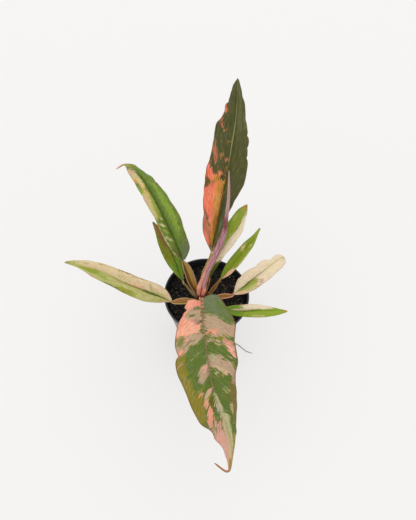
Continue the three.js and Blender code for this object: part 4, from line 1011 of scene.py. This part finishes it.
def sheath_shape(s, turn):
    """The sheath's groove, cut in, and its two lobes, standing proud up to where each ends."""
    groove = SHEATH["groove"]
    shut = np.clip((groove["shut"] - s) / groove["closing"], 0, 1)
    shape = 1 - groove["depth"] * shut * np.exp(-((turn - np.pi / 2) / groove["breadth"]) ** 2)
    for lobe in (SHEATH["right_lobe"], SHEATH["left_lobe"]):
        stands = 0.5 - 0.5 * np.tanh((s - lobe["end"]) / 0.012)
        shape = shape + lobe["rise"] * stands * np.exp(-((turn - lobe["turn"]) / lobe["breadth"]) ** 2)
    return shape


def rolled_shape(s, turn):
    """The rolled blade winds inwards, so its outer edge stands proud along its right side."""
    return 1 + ROLLED["overlap"] * (turn / (2 * np.pi) - 0.5) + 0 * s


def make_new_leaf():
    wrapped_piece("sheath", SHEATH, sheath_shape, sheath_finish(), "sheath_coral", "new_leaf_sheath")
    wrapped_piece("rolled_blade", ROLLED, rolled_shape, rolled_finish(), "rolled_mauve",
                  "new_leaf_rolled")


def tube_rings(path, radius, rings, sides):
    s = np.linspace(0, 1, rings)
    turn = 2 * np.pi * np.arange(sides) / sides
    at, _, right, top, _ = along_curve(path, s)
    knots = radius[0] + (radius[1] - radius[0]) * s
    knots = knots * (1 + 0.12 * np.sin(40 * s) * np.sin(17 * s))
    cut = np.sqrt(np.clip(1 - ((s - 0.5) / 0.5) ** 40, 0.05, 1))
    size = (knots * cut)[:, None, None]
    rings = at[:, None] + (right[:, None] * np.cos(turn)[:, None]
                           + top[:, None] * np.sin(turn)[:, None]) * size
    return rings, np.stack(np.broadcast_arrays(s[:, None], turn, 0.0), -1)


def make_loose_root():
    radius = (LOOSE_ROOT["radius"], LOOSE_ROOT["tip_radius"])
    mesh = body_of_rings("loose_root", *tube_rings(LOOSE_ROOT["path"], radius, 120, 16))
    finished("escaped_root", mesh, root_finish(), "root_skin", "loose_root")


def root_path(k):
    """The route of one thick root, from the foot of the stem outwards and down."""
    turn = 2 * math.pi * (k + 0.5) / ROOTS["count"]
    steps = [(0.1, 0), (0.45, 0.2), (0.8, 0.55), (1, 1)]
    return [(STEM["x"] + math.cos(turn + 0.5 * share) * ROOTS["reach"] * share,
             STEM["y"] + math.sin(turn + 0.5 * share) * ROOTS["reach"] * share,
             STEM["foot"] + 4 - ROOTS["depth"] * drop) for share, drop in steps]


def lathed(name, profile, segments):
    """A closed mesh turned round the upright axis from (radius, height) pairs, axis to axis."""
    made = bmesh.new()
    rings = []
    for radius, height in profile:
        if radius == 0:
            rings.append([made.verts.new((0, 0, height * MM))])
            continue
        turns = [2 * math.pi * j / segments for j in range(segments)]
        rings.append([made.verts.new((radius * MM * math.cos(a), radius * MM * math.sin(a), height * MM))
                      for a in turns])
    for low, high in zip(rings, rings[1:]):
        for j in range(segments):
            corners = [low[j % len(low)], low[(j + 1) % len(low)],
                       high[(j + 1) % len(high)], high[j % len(high)]]
            made.faces.new(list(dict.fromkeys(corners)))
    bmesh.ops.recalc_face_normals(made, faces=made.faces)
    mesh = bpy.data.meshes.new(name)
    made.to_mesh(mesh)
    made.free()
    return mesh


def make_stem():
    """The short stem, ringed with leaf scars, and the thick roots below it."""
    heights = np.linspace(STEM["foot"], STEM["top"], 60)
    scars = 1 + 0.03 * np.abs(np.sin(heights * 1.1)) - 0.015
    dome = np.sqrt(np.clip((STEM["top"] - heights) / 1.2, 0, 1))
    profile = [(0, STEM["foot"])]
    profile += [(stem_radius(z) * scar * max(0.02, d), z) for z, scar, d in zip(heights, scars, dome)]
    profile += [(0, STEM["top"])]
    mesh = lathed("stem", profile, 48)
    mesh.transform(Matrix.Translation((STEM["x"] * MM, STEM["y"] * MM, 0)))
    made = bmesh.new()
    made.from_mesh(mesh)
    for k in range(ROOTS["count"]):
        radius = (ROOTS["radius"], ROOTS["tip_radius"])
        made.from_mesh(body_of_rings(f"root_{k}", *tube_rings(root_path(k), radius, 40, 16)))
    made.to_mesh(mesh)
    made.free()
    finished("stem_and_roots", mesh, stem_finish(), "stem_skin", "stem")


POT = {"lip_bottom": 82.8, "neck_radius": 48.2, "base_radius": 33, "wall": 0.9, "floor": 1.4,
       "slots": 6, "slot_azimuth": -27, "slot_width": 9, "slot_height": 4.5, "slot_depth": 8,
       "slot_round": 1.6, "recess": 0.6, "foot_round": 1.5, "lip_round": 0.9, "segments": 180}

pot_low, pot_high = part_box("pot")
POT_HEIGHT = pot_high.z / MM
RIM_RADIUS = pot_high.y / MM


def inside_radius(z):
    share = z / POT["lip_bottom"]
    return POT["base_radius"] + (POT["neck_radius"] - POT["base_radius"]) * share - POT["wall"]


def pot_profile():
    """The pot's section: floor, wall, and a rolled lip with a soft inner edge."""
    lip, top, rim = POT["lip_bottom"], POT_HEIGHT, RIM_RADIUS
    base, neck, floor = POT["base_radius"], POT["neck_radius"], POT["floor"]
    foot_round, lip_round = POT["foot_round"], POT["lip_round"]
    outline = [(0, POT["recess"]), (base - 6, POT["recess"]), (base - 5.2, 0)]
    outline += [(base - foot_round * (1 - math.sin(a)), foot_round * (1 - math.cos(a)))
                for a in np.linspace(0, math.pi / 2, 6)]
    outline += [(base + (neck - base) * k, lip * k) for k in np.linspace(0.05, 0.99, 12)]
    outline += [(rim - 0.5, lip + 0.1), (rim - 0.1, lip + 0.3), (rim, lip + 0.8)]
    outline += [(rim - lip_round * (1 - math.cos(a)), top - lip_round * (1 - math.sin(a)))
                for a in np.linspace(0, math.pi / 2, 7)]
    inner = inside_radius(top)
    outline += [(inner + 0.6, top), (inner + 0.15, top - 0.2), (inner, top - 0.7)]
    outline += [(inside_radius(z), z) for z in np.linspace(top - 4, floor, 8)]
    outline += [(0, floor)]
    return outline


def make_pot():
    """The pot is turned, then its drainage slots are cut at the foot of the wall."""
    body = bpy.data.objects.new("pot_body", lathed("pot_body", pot_profile(), POT["segments"]))
    bpy.context.scene.collection.objects.link(body)
    made = bmesh.new()
    for k in range(POT["slots"]):
        turn = math.radians(POT["slot_azimuth"]) + 2 * math.pi * k / POT["slots"]
        size = Matrix.Diagonal((POT["slot_depth"] * MM, POT["slot_width"] * MM,
                                2 * POT["slot_height"] * MM, 1))
        out = Matrix.Translation((POT["base_radius"] * MM, 0, 0))
        bmesh.ops.create_cube(made, matrix=Matrix.Rotation(turn, 4, "Z") @ out @ size)
    upright = [e for e in made.edges if abs(e.verts[0].co.z - e.verts[1].co.z) < MM
               and (e.verts[0].co - e.verts[1].co).length < (POT["slot_depth"] + 0.5) * MM
               and e.verts[0].co.z > 0]
    bmesh.ops.bevel(made, geom=upright, offset=POT["slot_round"] * MM, segments=5, affect="EDGES")
    cutter_mesh = bpy.data.meshes.new("slot_cutter")
    made.to_mesh(cutter_mesh)
    made.free()
    cutter = bpy.data.objects.new("slot_cutter", cutter_mesh)
    bpy.context.scene.collection.objects.link(cutter)
    cut = body.modifiers.new("slots", "BOOLEAN")
    cut.operation = "DIFFERENCE"
    cut.solver = "EXACT"
    cut.object = cutter
    shaped = bpy.context.evaluated_depsgraph_get()
    mesh = bpy.data.meshes.new_from_object(body.evaluated_get(shaped))
    bpy.data.objects.remove(cutter)
    bpy.data.objects.remove(body)
    piece = finished("nursery_pot", mesh, pot_finish(), "pot_plastic", "pot")
    piece.data.set_sharp_from_angle(angle=math.radians(50))


SOIL = {"top": 78, "edge_sink": 0.4, "gap": 0.35, "bumps": 1.0, "rings": 90, "segments": 200}

# Loose bits on the soil: two colours, how many to a square metre, and sizes in metres.
CRUMBS = {
    "peat_crumbs": {"dark": (0.003, 0.003, 0.003, 1), "light": (0.022, 0.016, 0.011, 1),
                    "roughness": 0.85, "number": 260000.0, "seed": 3,
                    "smallest": (0.0004, 0.0004, 0.0003), "largest": (0.0016, 0.0013, 0.001)},
    "bark_chips": {"dark": (0.035, 0.022, 0.012, 1), "light": (0.20, 0.14, 0.08, 1),
                   "roughness": 0.75, "number": 30000.0, "seed": 5,
                   "smallest": (0.0007, 0.0003, 0.0002), "largest": (0.0028, 0.0009, 0.0006)},
    "pale_grit": {"dark": (0.08, 0.08, 0.08, 1), "light": (0.34, 0.33, 0.31, 1),
                  "roughness": 0.8, "number": 16000.0, "seed": 8,
                  "smallest": (0.0003, 0.0003, 0.0002), "largest": (0.001, 0.0008, 0.0006)},
}


def soil_height(x, y):
    """The soil's surface, in millimetres, with lumps of two sizes."""
    lumps = noise.noise((x / 9, y / 9, 3.1)) * 1.3 + noise.noise((x / 3.2, y / 3.2, 7.7)) * 0.8
    return SOIL["top"] + SOIL["bumps"] * lumps


def soil_bed():
    """Rings of points on the soil's surface, from the pot's wall to the stem."""
    reach = inside_radius(SOIL["top"]) - SOIL["gap"]
    rows = []
    for i in range(SOIL["rings"] + 1):
        share = 1 - i / SOIL["rings"]
        row = []
        for j in range(SOIL["segments"]):
            turn = 2 * math.pi * j / SOIL["segments"]
            stem_gap = stem_radius(SOIL["top"]) + 0.5
            centre = (STEM["x"] * (1 - share), STEM["y"] * (1 - share))
            radius = stem_gap + (reach - stem_gap) * share
            x = centre[0] + radius * math.cos(turn)
            y = centre[1] + radius * math.sin(turn)
            calm = min(1, (1 - share) * 12) * min(1, share * 12)
            z = SOIL["top"] + (soil_height(x, y) - SOIL["top"]) * calm
            row.append((x, y, z - SOIL["edge_sink"] * (share > 0.97)))
        rows.append(row)
    return np.array(rows)


def ring_mesh(name, rings, closed):
    """A mesh of rings of points; closed also joins the last ring to the first, as on a torus."""
    count, size = rings.shape[:2]
    index = np.arange(count * size).reshape(count, size)
    after = np.roll(index, -1, 0) if closed else index[1:]
    first = index if closed else index[:-1]
    faces = np.stack([first, np.roll(first, -1, 1), np.roll(after, -1, 1), after], -1)
    mesh = bpy.data.meshes.new(name)
    mesh.from_pydata((rings.reshape(-1, 3) * MM).tolist(), [], faces.reshape(-1, 4).tolist())
    return mesh


def scatter_tree(material):
    """A Geometry Nodes tree that strews bits over a surface, each with its own size and shade."""
    tree = bpy.data.node_groups.new(f"strewn_{material.name}", "GeometryNodeTree")
    sockets = [("Surface", "NodeSocketGeometry"), ("Per Square Metre", "NodeSocketFloat"),
               ("Seed", "NodeSocketInt"), ("Smallest", "NodeSocketVector"),
               ("Largest", "NodeSocketVector")]
    for name, kind in sockets:
        tree.interface.new_socket(name, in_out="INPUT", socket_type=kind)
    tree.interface.new_socket("Bits", in_out="OUTPUT", socket_type="NodeSocketGeometry")
    start = Paint(tree)
    given = tree.nodes.new("NodeGroupInput")
    surface, density, seed, smallest, largest = (Paint(tree, given.outputs[i]) for i in range(5))
    points = start.node("GeometryNodeDistributePointsOnFaces", {"distribute_method": "RANDOM"},
                        {"Mesh": surface, "Density": density, "Seed": seed})
    size = start.node("FunctionNodeRandomValue", {"data_type": "FLOAT_VECTOR"},
                      {0: smallest, 1: largest, "Seed": seed})
    turn = start.node("FunctionNodeRandomValue", {"data_type": "FLOAT_VECTOR"},
                      {0: (-0.5, -0.5, 0), 1: (0.5, 0.5, 2 * math.pi), "Seed": seed})
    bit = start.node("GeometryNodeMeshIcoSphere", sockets={"Radius": 1.0, "Subdivisions": 1})
    strewn = start.node("GeometryNodeInstanceOnPoints", sockets={
        "Points": points, "Instance": bit, "Rotation": turn, "Scale": size})
    own = start.node("FunctionNodeRandomValue", {"data_type": "FLOAT"}, {"Seed": seed}, out=1)
    shaded = start.node("GeometryNodeStoreNamedAttribute", {"domain": "INSTANCE"},
                        {"Geometry": strewn, "Name": "shade", "Value": own})
    solid = start.node("GeometryNodeRealizeInstances", sockets={"Geometry": shaded})
    done = start.node("GeometryNodeSetMaterial", sockets={"Geometry": solid, "Material": material})
    start.node("NodeGroupOutput", sockets={0: done})
    return tree


def strew(name, bed, bits):
    """Runs the scatter on a bed mesh and keeps the bits as a plain mesh."""
    material = crumb_finish(name, bits)
    inputs = {"Per Square Metre": bits["number"], "Seed": bits["seed"],
              "Smallest": bits["smallest"], "Largest": bits["largest"]}
    piece = bpy.data.objects.new(f"{name}_bed", bed.copy())
    bpy.context.scene.collection.objects.link(piece)
    tree = scatter_tree(material)
    modifier = piece.modifiers.new("strew", "NODES")
    modifier.node_group = tree
    for item in tree.interface.items_tree:
        if item.name in inputs:
            modifier[item.identifier] = inputs[item.name]
    shaped = bpy.context.evaluated_depsgraph_get()
    mesh = bpy.data.meshes.new_from_object(piece.evaluated_get(shaped))
    piece.modifiers.clear()
    bpy.data.objects.remove(piece)
    finished(name, mesh, material, "potting_mix").data.shade_flat()


def make_soil():
    top = soil_bed()
    reach_low = inside_radius(POT["floor"] + SOIL["gap"]) - SOIL["gap"]
    turns = 2 * np.pi * np.arange(SOIL["segments"]) / SOIL["segments"]
    circle = np.stack([np.cos(turns), np.sin(turns), 0 * turns], 1)
    stem_gap = stem_radius(SOIL["top"]) + 0.5
    low_rim = circle * reach_low + (0, 0, POT["floor"] + SOIL["gap"])
    low_hole = circle * stem_gap + (STEM["x"], STEM["y"], POT["floor"] + SOIL["gap"])
    mesh = ring_mesh("potting_mix", np.concatenate([top, [low_hole, low_rim]]), True)
    outward(mesh)
    finished("potting_mix", mesh, soil_finish(), "potting_mix", "soil")
    bed = ring_mesh("bed", top[3:-3], False)
    for name, bits in CRUMBS.items():
        strew(name, bed, bits)


def make_camera():
    pitch = math.radians(CAMERA["pitch"])
    roll = math.radians(CAMERA["roll"])
    forward = Vector((0, math.cos(pitch), -math.sin(pitch)))
    across = Vector((1, 0, 0))
    upward = Vector((0, math.sin(pitch), math.cos(pitch)))
    right = math.cos(roll) * across + math.sin(roll) * upward
    top = math.cos(roll) * upward - math.sin(roll) * across
    data = bpy.data.cameras.new("camera")
    data.lens = CAMERA["lens"]
    data.sensor_width = CAMERA["sensor"]
    camera = bpy.data.objects.new("camera", data)
    bpy.context.scene.collection.objects.link(camera)
    turned = Matrix((right, top, -forward)).transposed().to_4x4()
    camera.matrix_world = Matrix.Translation(Vector(CAMERA["place"]) * MM) @ turned
    bpy.context.scene.camera = camera


def make_studio():
    """A pale floor that glows faintly, an even sky and two wide soft lights."""
    material, start = new_finish("floor")
    shade(start, FLOOR["tone"], 0.9, Emission_Color=(1, 0.992, 0.98, 1),
          Emission_Strength=FLOOR["glow"])
    mesh = bpy.data.meshes.new("floor")
    size = FLOOR["size"] / 2
    mesh.from_pydata([(-size, -size, 0), (size, -size, 0), (size, size, 0), (-size, size, 0)], [],
                     [(0, 1, 2, 3)])
    mesh.materials.append(material)
    floor = bpy.data.objects.new("floor", mesh)
    bpy.context.scene.collection.objects.link(floor)
    world = bpy.data.worlds.new("studio")
    world.use_nodes = True
    sky = world.node_tree.nodes["Background"]
    sky.inputs["Color"].default_value = SKY["tone"]
    sky.inputs["Strength"].default_value = SKY["strength"]
    bpy.context.scene.world = world
    bpy.context.scene.view_settings.view_transform = "Standard"
    for name, (place, power) in LIGHTS.items():
        light = bpy.data.lights.new(name, "AREA")
        light.shape = "DISK"
        light.size = LIGHT_SIZE
        light.energy = power
        lamp = bpy.data.objects.new(name, light)
        bpy.context.scene.collection.objects.link(lamp)
        lamp.location = place
        aim = Vector((0, 0, 0.1)) - Vector(place)
        lamp.rotation_euler = aim.to_track_quat("-Z", "Y").to_euler()


make_camera()
make_studio()
make_pot()
make_soil()
make_stem()
make_stalks()
make_blades()
make_new_leaf()
make_loose_root()
